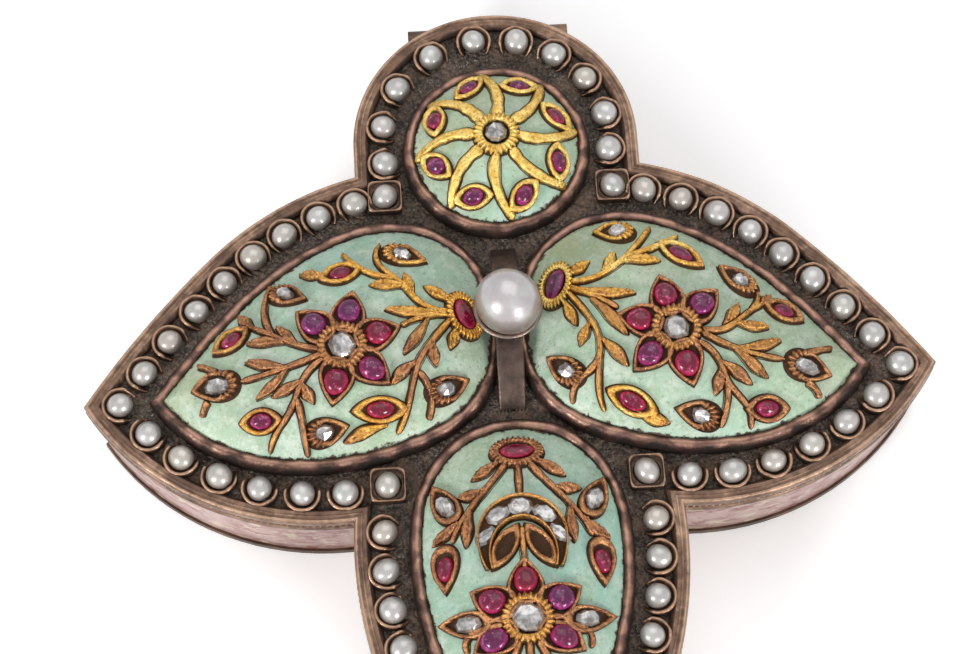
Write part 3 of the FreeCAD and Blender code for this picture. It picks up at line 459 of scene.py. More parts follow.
# Meshes
class Heap:
    """Grids of points gathered into one mesh, with named values at each point."""

    def __init__(self, mirrored=False):
        self.mirrored = mirrored
        self.points = []
        self.faces = []
        self.values = {}
        self.count = 0

    def grid(self, points, rows_close=False, columns_close=True, **values):
        """Adds a grid of points joined by quads. Rows or columns may run round to their start; where only
        the rows do, both ends are closed at their middles."""
        if rows_close and not columns_close:
            shape = points.shape[:2]
            values = {k: np.broadcast_to(np.asarray(v, float), shape) for k, v in values.items()}
            ends = [points[:, :1].mean(axis=0, keepdims=True), points[:, -1:].mean(axis=0, keepdims=True)]
            ends = [np.repeat(end, len(points), axis=0) for end in ends]
            points = np.concatenate([ends[0], points, ends[1]], axis=1)
            values = {k: np.concatenate([v[:, :1], v, v[:, -1:]], axis=1) for k, v in values.items()}
        rows, columns = points.shape[:2]
        index = self.count + np.arange(rows * columns).reshape(rows, columns)
        if rows_close:
            index = np.concatenate([index, index[:1]])
        if columns_close:
            index = np.concatenate([index, index[:, :1]], axis=1)
        quads = np.stack([index[:-1, :-1], index[:-1, 1:], index[1:, 1:], index[1:, :-1]], axis=-1)
        self.faces.append(quads.reshape(-1, 4))
        self.points.append(points.reshape(-1, 3))
        for name, value in values.items():
            spread = np.broadcast_to(np.asarray(value, float), (rows, columns)).reshape(-1)
            self.values.setdefault(name, []).append(spread)
        self.count += rows * columns

    def make(self, name, material, body, replaced, slot, smooth=True):
        """The mesh as a piece that rides on a body: poles merged, faces outwards."""
        points = np.concatenate(self.points) * MM
        if self.mirrored:
            points = points * [-1, 1, 1]
        faces = np.concatenate(self.faces)
        mesh = bpy.data.meshes.new(name)
        mesh.vertices.add(len(points))
        mesh.vertices.foreach_set("co", points.astype(np.float32).ravel())
        mesh.loops.add(faces.size)
        mesh.loops.foreach_set("vertex_index", faces.astype(np.int32).ravel())
        mesh.polygons.add(len(faces))
        mesh.polygons.foreach_set("loop_start", np.arange(0, faces.size, 4, dtype=np.int32))
        for key, parts in self.values.items():
            layer = mesh.attributes.new(key, "FLOAT", "POINT")
            layer.data.foreach_set("value", np.concatenate(parts).astype(np.float32))
        mesh.update(calc_edges=True)
        shell = bmesh.new()
        shell.from_mesh(mesh)
        bmesh.ops.remove_doubles(shell, verts=shell.verts, dist=merge_distance)
        bmesh.ops.dissolve_degenerate(shell, edges=shell.edges, dist=merge_distance / 10)
        bmesh.ops.recalc_face_normals(shell, faces=shell.faces)
        shell.to_mesh(mesh)
        shell.free()
        mesh.polygons.foreach_set("use_smooth", np.full(len(mesh.polygons), smooth))
        mesh.materials.append(material)
        piece = bpy.data.objects.new(name, mesh)
        bpy.context.scene.collection.objects.link(piece)
        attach(piece, body)
        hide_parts(*replaced)


# Materials
class Signal:
    """One output of a material's nodes. Arithmetic with it adds Math nodes."""

    def __init__(self, tree, socket):
        self.tree = tree
        self.socket = socket

    def node(self, kind, settings=None, output=0, **sockets):
        """Adds a node of the given type: settings first, then values or links of its sockets, which are
        named with _ for a blank, or given by number after n."""
        made = self.tree.nodes.new("ShaderNode" + kind)
        for key, value in (settings or {}).items():
            setattr(made, key, value)
        for key, value in sockets.items():
            numbered = key[0] == "n" and key[1:].isdigit()
            socket = made.inputs[int(key[1:])] if numbered else made.inputs[key.replace("_", " ")]
            if isinstance(value, Signal):
                self.tree.links.new(value.socket, socket)
            elif isinstance(value, tuple) and len(socket.default_value) == 4:
                socket.default_value = (*value, 1)
            else:
                socket.default_value = value
        return Signal(self.tree, made.outputs[output])

    def math(self, operation, *values):
        """Math node on numbers or signals."""
        sockets = {"n%d" % i: v for i, v in enumerate(values)}
        return self.node("Math", {"operation": operation}, **sockets)

    def __add__(self, other):
        return self.math("ADD", self, other)

    def __radd__(self, other):
        return self.math("ADD", other, self)

    def __sub__(self, other):
        return self.math("SUBTRACT", self, other)

    def __rsub__(self, other):
        return self.math("SUBTRACT", other, self)

    def __mul__(self, other):
        return self.math("MULTIPLY", self, other)

    def step(self, low, high):
        """0 below low, 1 above high and a smooth rise between."""
        settings = {"interpolation_type": "SMOOTHSTEP"}
        return self.node("MapRange", settings, Value=self, From_Min=low, From_Max=high)

    def blend(self, low, high):
        """Colour that goes from low to high as this value goes from 0 to 1."""
        return self.node("Mix", {"data_type": "RGBA"}, output=2, n0=self, n6=low, n7=high)


class Finish:
    """A material: one shader, the piece's own coordinates, and noise in millimetres."""

    def __init__(self, name, **constants):
        self.material = bpy.data.materials.new(name)
        self.material.use_nodes = True
        tree = self.material.node_tree
        self.shader = tree.nodes["Principled BSDF"]
        self.tree = tree
        self.start = Signal(tree, None)
        self.place = self.start.node("TexCoord", output="Object")
        for key, value in constants.items():
            self.shader.inputs[key.replace("_", " ")].default_value = value

    def value(self, name):
        """A named value of the mesh."""
        return self.start.node("Attribute", {"attribute_name": name}, output="Fac")

    def noise(self, size, detail=3.0, roughness=0.55, stretch=None):
        """Noise from 0 to 1 whose lumps are about the given size."""
        vector = self.place
        if stretch:
            vector = self.start.node("Mapping", Vector=self.place, Scale=stretch)
        return self.start.node("TexNoise", output="Fac", Vector=vector, Scale=1 / (size * MM),
                               Detail=detail, Roughness=roughness)

    def between(self, low, high, size, edges, detail=3.0, roughness=0.55):
        """Colour that wanders between two, by noise of the given size cut between two edges."""
        return self.noise(size, detail, roughness).step(*edges).blend(low, high)

    def mottle(self, base, colour, amount, size, edges, detail=3.0, roughness=0.55):
        """Base with patches of another colour, by noise of the given size cut between two edges."""
        return (self.noise(size, detail, roughness).step(*edges) * amount).blend(base, colour)

    def cells(self, size):
        """Distance from the middles of grains of the given size, 0 to about 1."""
        return self.start.node("TexVoronoi", output="Distance", Vector=self.place, Scale=1 / (size * MM))

    def along(self, axis):
        """One coordinate, in metres."""
        return self.start.node("SeparateXYZ", output=axis, Vector=self.place)

    def feed(self, **signals):
        """Links signals to the shader's sockets, which are named with _ for a blank."""
        for key, signal in signals.items():
            self.tree.links.new(signal.socket, self.shader.inputs[key.replace("_", " ")])

    def bump(self, height, depth):
        """Unevenness of the given depth in millimetres, where height runs from 0 to 1."""
        self.feed(Normal=self.start.node("Bump", Height=height, Distance=depth * MM))
        return self


def green_enamel_finish():
    """Pale turquoise enamel: whitish and olive mottling, dark specks and a chipped brown border."""
    green = (0.37, 0.53, 0.38)
    light_green = (0.47, 0.61, 0.48)
    whitish = (0.62, 0.70, 0.60)
    olive = (0.31, 0.42, 0.27)
    warm_olive = (0.42, 0.47, 0.25)
    blue_green = (0.30, 0.56, 0.48)
    dark_speck = (0.19, 0.21, 0.13)
    white_fleck = (0.64, 0.71, 0.60)
    scratch_green = (0.20, 0.26, 0.18)
    bare_brown = (0.085, 0.055, 0.043)
    f = Finish("green_enamel", IOR=1.42, Coat_Roughness=0.2)
    base = f.between(green, light_green, size=5.0, edges=(0.35, 0.68), detail=4.0)
    base = f.mottle(base, whitish, 0.8, size=2.4, edges=(0.46, 0.60), detail=7.0, roughness=0.8)
    base = f.mottle(base, olive, 0.65, size=1.0, edges=(0.48, 0.62), detail=6.0, roughness=0.8)
    base = (f.value("warm") * f.noise(3.0).step(0.25, 0.6) * 0.8).blend(base, warm_olive)
    base = (f.value("bluish") * f.noise(3.5).step(0.25, 0.6) * 0.75).blend(base, blue_green)
    base = f.mottle(base, dark_speck, 0.7, size=0.4, edges=(0.57, 0.68), detail=4.0, roughness=0.75)
    base = f.mottle(base, white_fleck, 0.5, size=0.7, edges=(0.54, 0.62), detail=6.0, roughness=0.85)
    scratch = f.noise(0.35, 2.0, 0.5, (1.0, 6.0, 1.0)).step(0.66, 0.74)
    base = (scratch * 0.4).blend(base, scratch_green)
    chip = 1 - (f.value("inside") - f.noise(0.8, 3.0, 0.65) * 1.1 + 0.42).step(0.0, 0.14)
    base = chip.blend(base, bare_brown)
    f.feed(Base_Color=base, Roughness=0.36 + f.noise(1.5) * 0.25 + chip * 0.2,
           Coat_Weight=0.16 - chip * 0.16)
    return f.bump(f.noise(1.6, 4.0) * 0.5 - chip * 0.5 + f.noise(0.3, 2.0) * 0.12, 0.10).material


def gilt_finish():
    """Chased metal from dark copper to bright gold: pitted, with dirt at the foot of the relief."""
    dark_copper = (0.24, 0.105, 0.055)
    light_copper = (0.47, 0.228, 0.105)
    dark_amber = (0.50, 0.245, 0.047)
    light_amber = (0.72, 0.41, 0.10)
    dull_gold = (0.62, 0.385, 0.085)
    bright_gold = (0.80, 0.585, 0.20)
    dirt_brown = (0.055, 0.032, 0.022)
    pit_brown = (0.075, 0.038, 0.021)
    f = Finish("gilt_metal", Metallic=1.0)
    tone = f.value("tone")
    pits = f.noise(0.27, 3.0, 0.65)
    copper = f.between(dark_copper, light_copper, size=1.2, edges=(0.3, 0.7))
    amber = f.between(dark_amber, light_amber, size=0.9, edges=(0.3, 0.7))
    gold = f.between(dull_gold, bright_gold, size=0.9, edges=(0.3, 0.7))
    amount = tone * 1.15 - 0.08 + (f.noise(1.6) - 0.5) * 0.4
    base = amount.step(0.0, 0.75).blend(copper, amber)
    base = amount.step(0.75, 1.05).blend(base, gold)
    dirt = 1 - (f.value("crest") + (pits - 0.5) * 0.5).step(0.12, 0.62)
    base = (dirt * 0.94).blend(base, dirt_brown)
    hole = (1 - pits.step(0.36, 0.50)) * (0.8 - tone * 0.35)
    base = hole.blend(base, pit_brown)
    f.feed(Base_Color=base, Roughness=0.24 + dirt * 0.4 + f.noise(0.8) * 0.16)
    return f.bump(pits * 0.8 + f.noise(0.12, 2.0) * 0.2, 0.15).material


def bronze_finish(name, dark, mid, bright, tint=0.35, dirt_and_shade_amount=1.0):
    """Worn brown metal: brighter on ridges, partly rubbed wear and partly painted highlight; black in the
    hollows, partly grime and partly painted shade; with faint purple tarnish.
    """
    purple_tarnish = (0.13, 0.065, 0.088)
    hollow_black = (0.032, 0.024, 0.020)
    f = Finish(name, Metallic=0.85)
    base = f.between(dark, mid, size=1.8, edges=(0.32, 0.7), detail=4.0, roughness=0.6)
    base = f.mottle(base, purple_tarnish, tint, size=4.5, edges=(0.5, 0.72))
    # Brighter where the crest is high: partly rubbed wear, partly a painted highlight on the lit tops.
    rubbed_and_highlit = (f.value("crest") + (f.noise(0.8, 3.0) - 0.5) * 0.9).step(0.45, 1.1)
    base = (rubbed_and_highlit * 0.85).blend(base, bright)
    # Black where the crest is low: partly grime, partly painted shade in the hollows.
    grime_and_shade = 1 - (f.value("crest") + (f.noise(0.5, 3.0) - 0.5) * 0.5).step(0.0, 0.35)
    base = (grime_and_shade * dirt_and_shade_amount).blend(base, hollow_black)
    f.feed(Base_Color=base, Roughness=0.34 + f.noise(1.1) * 0.22 + grime_and_shade * 0.25 - rubbed_and_highlit * 0.1)
    return f.bump(f.noise(0.35, 3.0, 0.65) * 0.6 + f.noise(1.5) * 0.4, 0.11).material


def field_finish():
    """Black-brown granular ground above, dull worn gilding on the underside of the lid."""
    black_brown = (0.030, 0.024, 0.020)
    grey_brown = (0.21, 0.158, 0.122)
    rust = (0.24, 0.155, 0.105)
    dust_grey = (0.42, 0.40, 0.37)
    dull_gilding = (0.30, 0.20, 0.095)
    worn_gilding = (0.38, 0.26, 0.125)
    f = Finish("dark_ground", Metallic=0.35)
    grain = f.cells(0.55)
    fine = f.noise(0.3, 3.0, 0.7)
    base = fine.step(0.35, 0.75).blend(black_brown, grey_brown)
    base = f.mottle(base, rust, 0.6, size=1.8, edges=(0.44, 0.68), detail=4.0)
    dust = f.noise(0.22, 1.0).step(0.62, 0.74) * f.noise(2.8, 2.0).step(0.42, 0.66)
    base = (dust * 0.8).blend(base, dust_grey)
    under = 1 - f.along("Z").step((plate_top - 0.25) * MM, (plate_top - 0.15) * MM)
    underside = f.between(dull_gilding, worn_gilding, size=3.0, edges=(0.3, 0.75), detail=4.0)
    f.feed(Base_Color=under.blend(base, underside), Roughness=0.62 - f.noise(0.5) * 0.25)
    return f.bump((fine * 0.6 - grain * 0.8) * (1 - under) + f.noise(0.6) * 0.2, 0.5).material


def pearl_finish(name, pale, deep, blush):
    """Nacre: soft lustre with faint pink and green patches and a few growth marks; the lower half turns
    warm brown, partly dirt and glue, partly painted shade.
    """
    pale_green = (0.50, 0.58, 0.52)
    growth_mark = (0.30, 0.25, 0.20)
    aged = (0.47, 0.41, 0.335)
    shade_and_dirt = (0.22, 0.165, 0.125)
    f = Finish(name, Metallic=0.4, Coat_Roughness=0.1, IOR=1.5, Coat_IOR=1.5)
    base = f.between(deep, pale, size=1.6, edges=(0.3, 0.75))
    base = f.mottle(base, blush, 0.5, size=2.6, edges=(0.48, 0.7), detail=2.0)
    green = f.noise(2.1, 2.0, 0.4, (1.7, 1.1, 1.3)).step(0.55, 0.72)
    base = (green * 0.4).blend(base, pale_green)
    base = f.mottle(base, growth_mark, 0.35, size=0.35, edges=(0.70, 0.78), detail=2.0)
    base = (f.value("age").step(0.35, 1.0) * 0.55).blend(base, aged)
    # Painted shade, partly dirt and glue: the lower half of each pearl darkens towards warm brown.
    low = 1 - f.value("top").step(-0.1, 0.75)
    base = (low * 0.75).blend(base, shade_and_dirt)
    f.feed(Base_Color=base, Roughness=0.24 + f.noise(0.9) * 0.14, Coat_Weight=0.5 + f.noise(1.3) * 0.3)
    return f.bump(f.noise(0.9, 3.0) * 0.7 + f.noise(0.25, 2.0) * 0.15, 0.05).material


def ruby_finish():
    """Foiled cabochon from red to purple: dark in the middle, with painted light towards the rim where
    the foil shines through, and painted sparkle in bright patches.
    """
    red_middle = (0.15, 0.003, 0.022)
    purple_middle = (0.095, 0.008, 0.062)
    red_rim_glow = (0.46, 0.016, 0.068)
    purple_rim_glow = (0.31, 0.030, 0.175)
    red_sparkle = (0.72, 0.095, 0.23)
    purple_sparkle = (0.58, 0.15, 0.42)
    f = Finish("ruby", IOR=1.38, Coat_Roughness=0.03, Coat_IOR=1.4)
    hue = f.value("hue")
    inner = hue.blend(red_middle, purple_middle)
    outer = hue.blend(red_rim_glow, purple_rim_glow)
    flaw_and_sparkle = f.noise(0.5, 4.0, 0.7)
    # Painted light: the stone brightens towards its rim, where the foil shines through.
    rim = (f.value("rim") + (flaw_and_sparkle - 0.5) * 0.9).step(0.25, 1.0)
    base = rim.blend(inner, outer)
    # Painted sparkle: bright patches stand in for glints inside the stone.
    sparkle = hue.blend(red_sparkle, purple_sparkle)
    base = (flaw_and_sparkle.step(0.53, 0.68) * 0.75).blend(base, sparkle)
    f.feed(Base_Color=base, Roughness=0.05 + flaw_and_sparkle * 0.1, Coat_Weight=0.1 + flaw_and_sparkle * 0.2)
    return f.bump(f.noise(0.5, 2.0), 0.03).material


def diamond_finish():
    """Flat-backed, foiled rose-cut stone: grey-white with dark facets, painted as reflections and glints
    by noise, with faint brown flaws.
    """
    dark_reflection = (0.13, 0.122, 0.116)
    white_glint = (0.46, 0.445, 0.435)
    brown_flaw = (0.30, 0.21, 0.16)
    f = Finish("diamond", IOR=1.8, Coat_Roughness=0.02, Coat_IOR=1.7)
    glint = f.noise(0.8, 3.0, 0.65)
    # Painted reflections and glints: noise from dark grey to white stands in for facets catching the
    # light.
    base = glint.step(0.36, 0.64).blend(dark_reflection, white_glint)
    base = f.mottle(base, brown_flaw, 0.5, size=0.9, edges=(0.6, 0.75), detail=2.0)
    f.feed(Base_Color=base, Roughness=0.06 + glint * 0.10, Metallic=0.35 + glint * 0.2,
           Coat_Weight=0.8 + glint * 0.2)
    return f.bump(glint, 0.03).material


def pink_enamel_finish():
    """Side enamel: pale mauve-pink washed with cream and brick-red strokes that run along the wall."""
    mauve = (0.34, 0.185, 0.17)
    pink = (0.50, 0.35, 0.32)
    brick_red = (0.23, 0.068, 0.062)
    cream_white = (0.64, 0.54, 0.40)
    bottom_brown = (0.20, 0.12, 0.10)
    along_wall = (0.7, 0.7, 1.5)
    f = Finish("pink_enamel", IOR=1.5, Coat_Roughness=0.15)
    base = f.between(mauve, pink, size=4.0, edges=(0.3, 0.7), detail=4.0)
    stroke = f.noise(1.5, 4.0, 0.65, along_wall).step(0.50, 0.62)
    base = (stroke * 0.85).blend(base, brick_red)
    cream = f.noise(1.3, 4.0, 0.65, along_wall).step(0.53, 0.63)
    base = (cream * 0.75).blend(base, cream_white)
    # Darker brown patches towards the bottom of the wall.
    low = 1 - f.along("Z").step(0.9 * MM, 2.6 * MM)
    base = (low * f.noise(1.2, 3.0).step(0.4, 0.7) * 0.6).blend(base, bottom_brown)
    f.feed(Base_Color=base, Roughness=0.28 + f.noise(1.6) * 0.25, Coat_Weight=0.3 + stroke * 0.15)
    return f.bump(f.noise(1.2, 4.0), 0.06).material


def plain_metal_finish(name, dark, bright):
    """Smooth inner metal with brushed wear, for the faces that only show with the lid open."""
    stain = (0.06, 0.04, 0.03)
    f = Finish(name, Metallic=0.9)
    base = f.between(dark, bright, size=3.5, edges=(0.3, 0.72), detail=5.0, roughness=0.65)
    base = f.mottle(base, stain, 0.5, size=0.8, edges=(0.6, 0.75))
    f.feed(Base_Color=base, Roughness=0.30 + f.noise(1.4) * 0.25)
    return f.bump(f.noise(0.6, 3.0), 0.03).material


enamel = green_enamel_finish()
gilt = gilt_finish()
bezel_metal = bronze_finish("bezel_bronze", dark=(0.062, 0.036, 0.029), mid=(0.145, 0.080, 0.060),
                            bright=(0.36, 0.207, 0.150))
edge_metal = bronze_finish("edge_bronze", dark=(0.095, 0.057, 0.040), mid=(0.185, 0.112, 0.076),
                           bright=(0.42, 0.275, 0.19), tint=0.12, dirt_and_shade_amount=0.8)
wire_metal = bronze_finish("collet_bronze", dark=(0.078, 0.049, 0.034), mid=(0.165, 0.10, 0.066),
                           bright=(0.42, 0.26, 0.172), tint=0.1, dirt_and_shade_amount=0.7)
strap_metal = bronze_finish("strap_bronze", dark=(0.065, 0.045, 0.037), mid=(0.125, 0.086, 0.071),
                            bright=(0.27, 0.20, 0.167), tint=0.2, dirt_and_shade_amount=0.6)
ground = field_finish()
seed_pearl = pearl_finish("seed_pearl", pale=(0.54, 0.53, 0.515), deep=(0.40, 0.39, 0.378),
                          blush=(0.50, 0.44, 0.435))
knob_pearl = pearl_finish("knob_pearl", pale=(0.52, 0.495, 0.50), deep=(0.45, 0.415, 0.42),
                          blush=(0.48, 0.425, 0.445))
ruby = ruby_finish()
diamond = diamond_finish()
pink_enamel = pink_enamel_finish()
lining = plain_metal_finish("worn_lining", dark=(0.22, 0.142, 0.067), bright=(0.36, 0.243, 0.117))
hinge_metal = plain_metal_finish("hinge_bronze", dark=(0.075, 0.046, 0.032), bright=(0.20, 0.125, 0.086))


# Draped ornaments: each is worked out in plan with a height above the dome
section_across = np.cos(np.linspace(0, math.pi, 11))
section_share = np.concatenate([section_across, [-1, -1, 1, 1]])
section_seam = np.concatenate([0 * section_across, [-1, -1, 1, 1]]) * seam
seam_level = 0.05


def drape(heap, boss, x, y, h, tone, **values):
    """Adds a plan grid at its heights above the dome. Its crest follows the height unless given."""
    heap.grid(boss.lift(x, y, h), tone=tone(x, y), **{"crest": np.clip(h / relief, 0, 1), **values})


def soft_patches(spots, least=0.0):
    """Amount at a plan place: the largest of soft round patches (x, y, reach, amount)."""
    def amount_at(x, y):
        """Each patch falls off as the bell curve of its distance."""
        amount = np.full(np.shape(x), least)
        for cx, cy, reach, most in spots:
            distance = ((x - cx) ** 2 + (y - cy) ** 2) / reach ** 2
            amount = np.maximum(amount, most * np.exp(-distance) ** 0.8)
        return amount
    return amount_at


def evenly(amount):
    """The same amount of gold everywhere."""
    return lambda x, y: np.full(np.shape(x), amount)


def closed_section(top):
    """Heights round a closed section: the given top, then a thin buried seam on both sides."""
    return np.concatenate([relief * top, [seam_level, -buried, -buried, seam_level]])


def stem(heap, boss, points, width, tone, tip_share=0.75, steps=40):
    """Ridge along a path: a rounded, shallowly grooved section, slimmer towards its far end."""
    u = rounded(steps)
    dense = smooth_path(points, 200)
    path = np.stack([np.interp(u, np.linspace(0, 1, 200), dense[:, i]) for i in (0, 1)], axis=1)
    normal = left_normal(path)
    taper = np.sqrt(np.clip(1 - np.abs(2 * u - 1) ** 14, 0, 1))
    half = width / 2 * (1 + (tip_share - 1) * u) * taper
    half *= 1 + 0.12 * wobble(path[:, 0], path[:, 1], 1.4, 3)
    top = (1 - section_across ** 2) ** 0.4 * (1 - 0.22 * np.exp(-(section_across / 0.3) ** 2))
    across = half[:, None] * section_share + taper[:, None] * section_seam
    x = path[:, :1] + normal[:, :1] * across
    y = path[:, 1:] + normal[:, 1:] * across
    h = taper[:, None] ** 0.5 * closed_section(top)
    drape(heap, boss, x, y, h * (1 + 0.1 * wobble(x, y, 0.7, 5)), tone)


def leaf(heap, boss, ends, width, tone, bend, steps=30):
    """Lance-shaped leaf: narrow root, blunt slanted tip, sunk midrib and lumpy face."""
    root = np.array(ends[0])
    along = np.array(ends[1]) - root
    side_way = np.array([-along[1], along[0]])
    u = rounded(steps)
    blunt = np.sqrt(np.clip(1 - u ** 26, 0, 1)) * np.sqrt(1 - (1 - u) ** 24)
    half = width / 2 * (0.36 + 0.64 * smoothstep(0.05, 0.58, u) - 0.55 * smoothstep(0.6, 1.0, u)) * blunt
    across = half[:, None] * section_share + blunt[:, None] * section_seam
    length = np.linalg.norm(along)
    run = u[:, None] + 1.1 * across * u[:, None] ** 5 / length * np.sign(bend)
    drift = bend * np.sin(math.pi * run * 0.9) + across / length
    x = root[0] + along[0] * run + side_way[0] * drift
    y = root[1] + along[1] * run + side_way[1] * drift
    top = (1 - section_across ** 6) ** 0.4 * (1 - 0.3 * np.exp(-(section_across / 0.2) ** 2))
    h = blunt[:, None] * closed_section(top)
    lumps = 1 + 0.32 * wobble(x, y, 0.34, 11) * (h > 0.1)
    drape(heap, boss, x, y, h * lumps, tone)


def vesica(angle):
    """Outline with two points, a little fuller than two crossed arcs."""
    return np.cos(angle), np.sign(np.sin(angle)) * np.abs(np.sin(angle)) ** 1.6


def teardrop(angle):
    """Outline with one point, at +1, and a round end at -1."""
    across = np.sin(angle) * np.sin(angle / 2) ** 0.85
    return np.cos(angle), across / across.max()


tray_insets = np.array([-seam, -seam, -0.02, -0.03, 0.0, 0.08, 0.20, 0.31, 0.38, 0.46])
tray_heights = np.array([-buried, seam_level, 0.1, 0.3, 0.48, 0.6, 0.62, 0.53, 0.32, 0.16])
tray_crests = np.array([0, 0, 0, 0, 0.2, 0.7, 1.0, 1.0, 0.85, 0.2, 0.05, 0.05])
flutes = 18


def tray(heap, boss, ends, width, outline, tone, fluted=0.0, steps=108):
    """Pointed setting: copies of the outline, scaled about its middle, step over a thin rim and down to a
    floor. A fluted one has a broad, grooved band round its back end."""
    root = np.array(ends[0])
    along = (np.array(ends[1]) - root) / 2
    length = np.linalg.norm(along)
    middle = root + along
    angle = (np.arange(steps) + 0.5) * TURN / steps
    ox, oy = outline(angle)
    back_end = fluted * smoothstep(0.15, -0.45, ox)
    groove = 0.5 + 0.5 * np.cos(flutes * angle)
    raised = (tray_heights > 0.25)[:, None]
    inset = tray_insets[:, None] + back_end * np.linspace(0, 0.36, len(tray_insets))[:, None]
    inset = inset + 0.10 * back_end * groove * (tray_insets < 0.1)[:, None] * raised
    scale = 1 - inset / (width / 2)
    h = tray_heights[:, None] + (0.10 - 0.26 * groove) * back_end * raised
    scale = np.concatenate([np.zeros((1, steps)), scale, np.zeros((1, steps))])
    h = np.concatenate([np.full((1, steps), -buried), h, np.full((1, steps), tray_heights[-1])])
    unit = along / length
    x = middle[0] + scale * (along[0] * ox - unit[1] * oy * width / 2)
    y = middle[1] + scale * (along[1] * ox + unit[0] * oy * width / 2)
    edge = (h > 0.3) * 0.05 * wobble(x, y, 0.9, 21)
    dull = np.concatenate([0 * back_end[None], raised * back_end * groove * 0.6, 0 * back_end[None]])
    drape(heap, boss, x, y, h + edge, tone, crest=np.clip(tray_crests[:, None] - dull, 0, 1))


def collet(heap, boss, centre, reach, opening, turn, tone, teeth=collet_teeth):
    """Toothed collet: rings step up from the dome to a bright lip round the stone, and radial grooves
    cut the band between into claws."""
    steps = teeth * 6
    angle = np.arange(steps) * TURN / steps
    claw = (0.5 - 0.5 * np.cos(teeth * angle)) ** 0.8
    share = np.array([0.0, 1.1, 1.1, 1.02, 0.98, 0.86, 0.66, 0.4, 0.12, 0.0, -0.04])[:, None]
    level = [-buried, -buried, seam_level, 0.22, 0.52, 0.76, 0.86, 0.88, 0.80, 0.66, 0.2]
    level = np.array(level)[:, None]
    cut = np.array([0, 0, 0, 0.6, 1.0, 1.0, 1.0, 0.8, 0.3, 0.0, 0.0])[:, None]
    bright = np.array([0, 0, 0, 0.1, 0.5, 0.85, 1.0, 1.0, 0.9, 0.5, 0.05, 0.0])[:, None]
    scale = opening + (1 - opening) * share
    scale[0] = 0
    scale = np.concatenate([scale * (1 - 0.05 * claw * (cut > 0.5)), np.zeros((1, steps))])
    h = np.concatenate([level - 0.24 * claw * cut, np.full((1, steps), 0.2)])
    bright = np.clip(bright - 0.6 * claw * np.concatenate([cut, [[0]]]), 0, 1)
    px = reach[0] * np.cos(angle) * scale
    py = reach[1] * np.sin(angle) * scale
    drape(heap, boss, *placed(centre, math.radians(turn), px, py), h, tone, crest=bright)


def cabochon(heap, boss, centre, reach, turn, hue, rise=0.80, foot=0.16, rows=9, steps=28):
    """Domed stone: half an ellipsoid whose flat back lies at the foot's height above the dome."""
    lean = np.linspace(math.pi / 2, 0, rows)[:, None]
    angle = np.arange(steps) * TURN / steps
    scale = np.concatenate([[[0.0]], np.sin(lean)]) * np.ones(steps)
    h = np.concatenate([[[foot]], foot + rise * np.cos(lean)]) * np.ones(steps)
    scale = scale * (1 + 0.03 * np.sin(2 * angle + turn) + 0.02 * np.sin(3 * angle + hue * 5))
    px = reach[0] * np.cos(angle) * scale
    py = reach[1] * np.sin(angle) * scale
    x, y = placed(centre, math.radians(turn), px, py)
    heap.grid(boss.lift(x, y, h), hue=hue, rim=np.clip(scale, 0, 1) ** 2)


def rose_cut(heap, boss, centre, reach, turn, rise=0.72, foot=0.18, facets=8):
    """Rose-cut stone: a flat-backed belt of sloping facets under a low crown, a little uneven."""
    angle = np.arange(facets) * TURN / facets + rng.uniform(0, 1)
    scale = np.array([0.0, 1.0, 0.98, 0.70, 0.0])[:, None] * rng.uniform(0.88, 1.08, facets)
    h = foot + rise * np.array([0.0, 0.0, 0.2, 0.74, 1.0])[:, None] * np.ones(facets)
    h[3] += rng.uniform(-0.07, 0.07, facets)
    px = reach[0] * np.cos(angle) * scale
    py = reach[1] * np.sin(angle) * scale
    heap.grid(boss.lift(*placed(centre, math.radians(turn), px, py), h))


def middle_of(ends, share=0.5):
    """Point at a share of the way from the first end to the second."""
    return np.array(ends[0]) * (1 - share) + np.array(ends[1]) * share


def heading_of(ends):
    """Direction from the first end to the second, in degrees."""
    along = np.array(ends[1]) - np.array(ends[0])
    return math.degrees(math.atan2(along[1], along[0]))


def length_of(ends):
    """Distance between two ends."""
    return float(np.linalg.norm(np.array(ends[1]) - np.array(ends[0])))


def polar(centre, radius, degrees):
    """Point at a radius and an angle from a centre."""
    a = math.radians(degrees)
    return np.array([centre[0] + radius * math.cos(a), centre[1] + radius * math.sin(a)])


def both_sides(paths):
    """Paths and their mirror images."""
    return paths + [[(-x, y) for x, y in path] for path in paths]


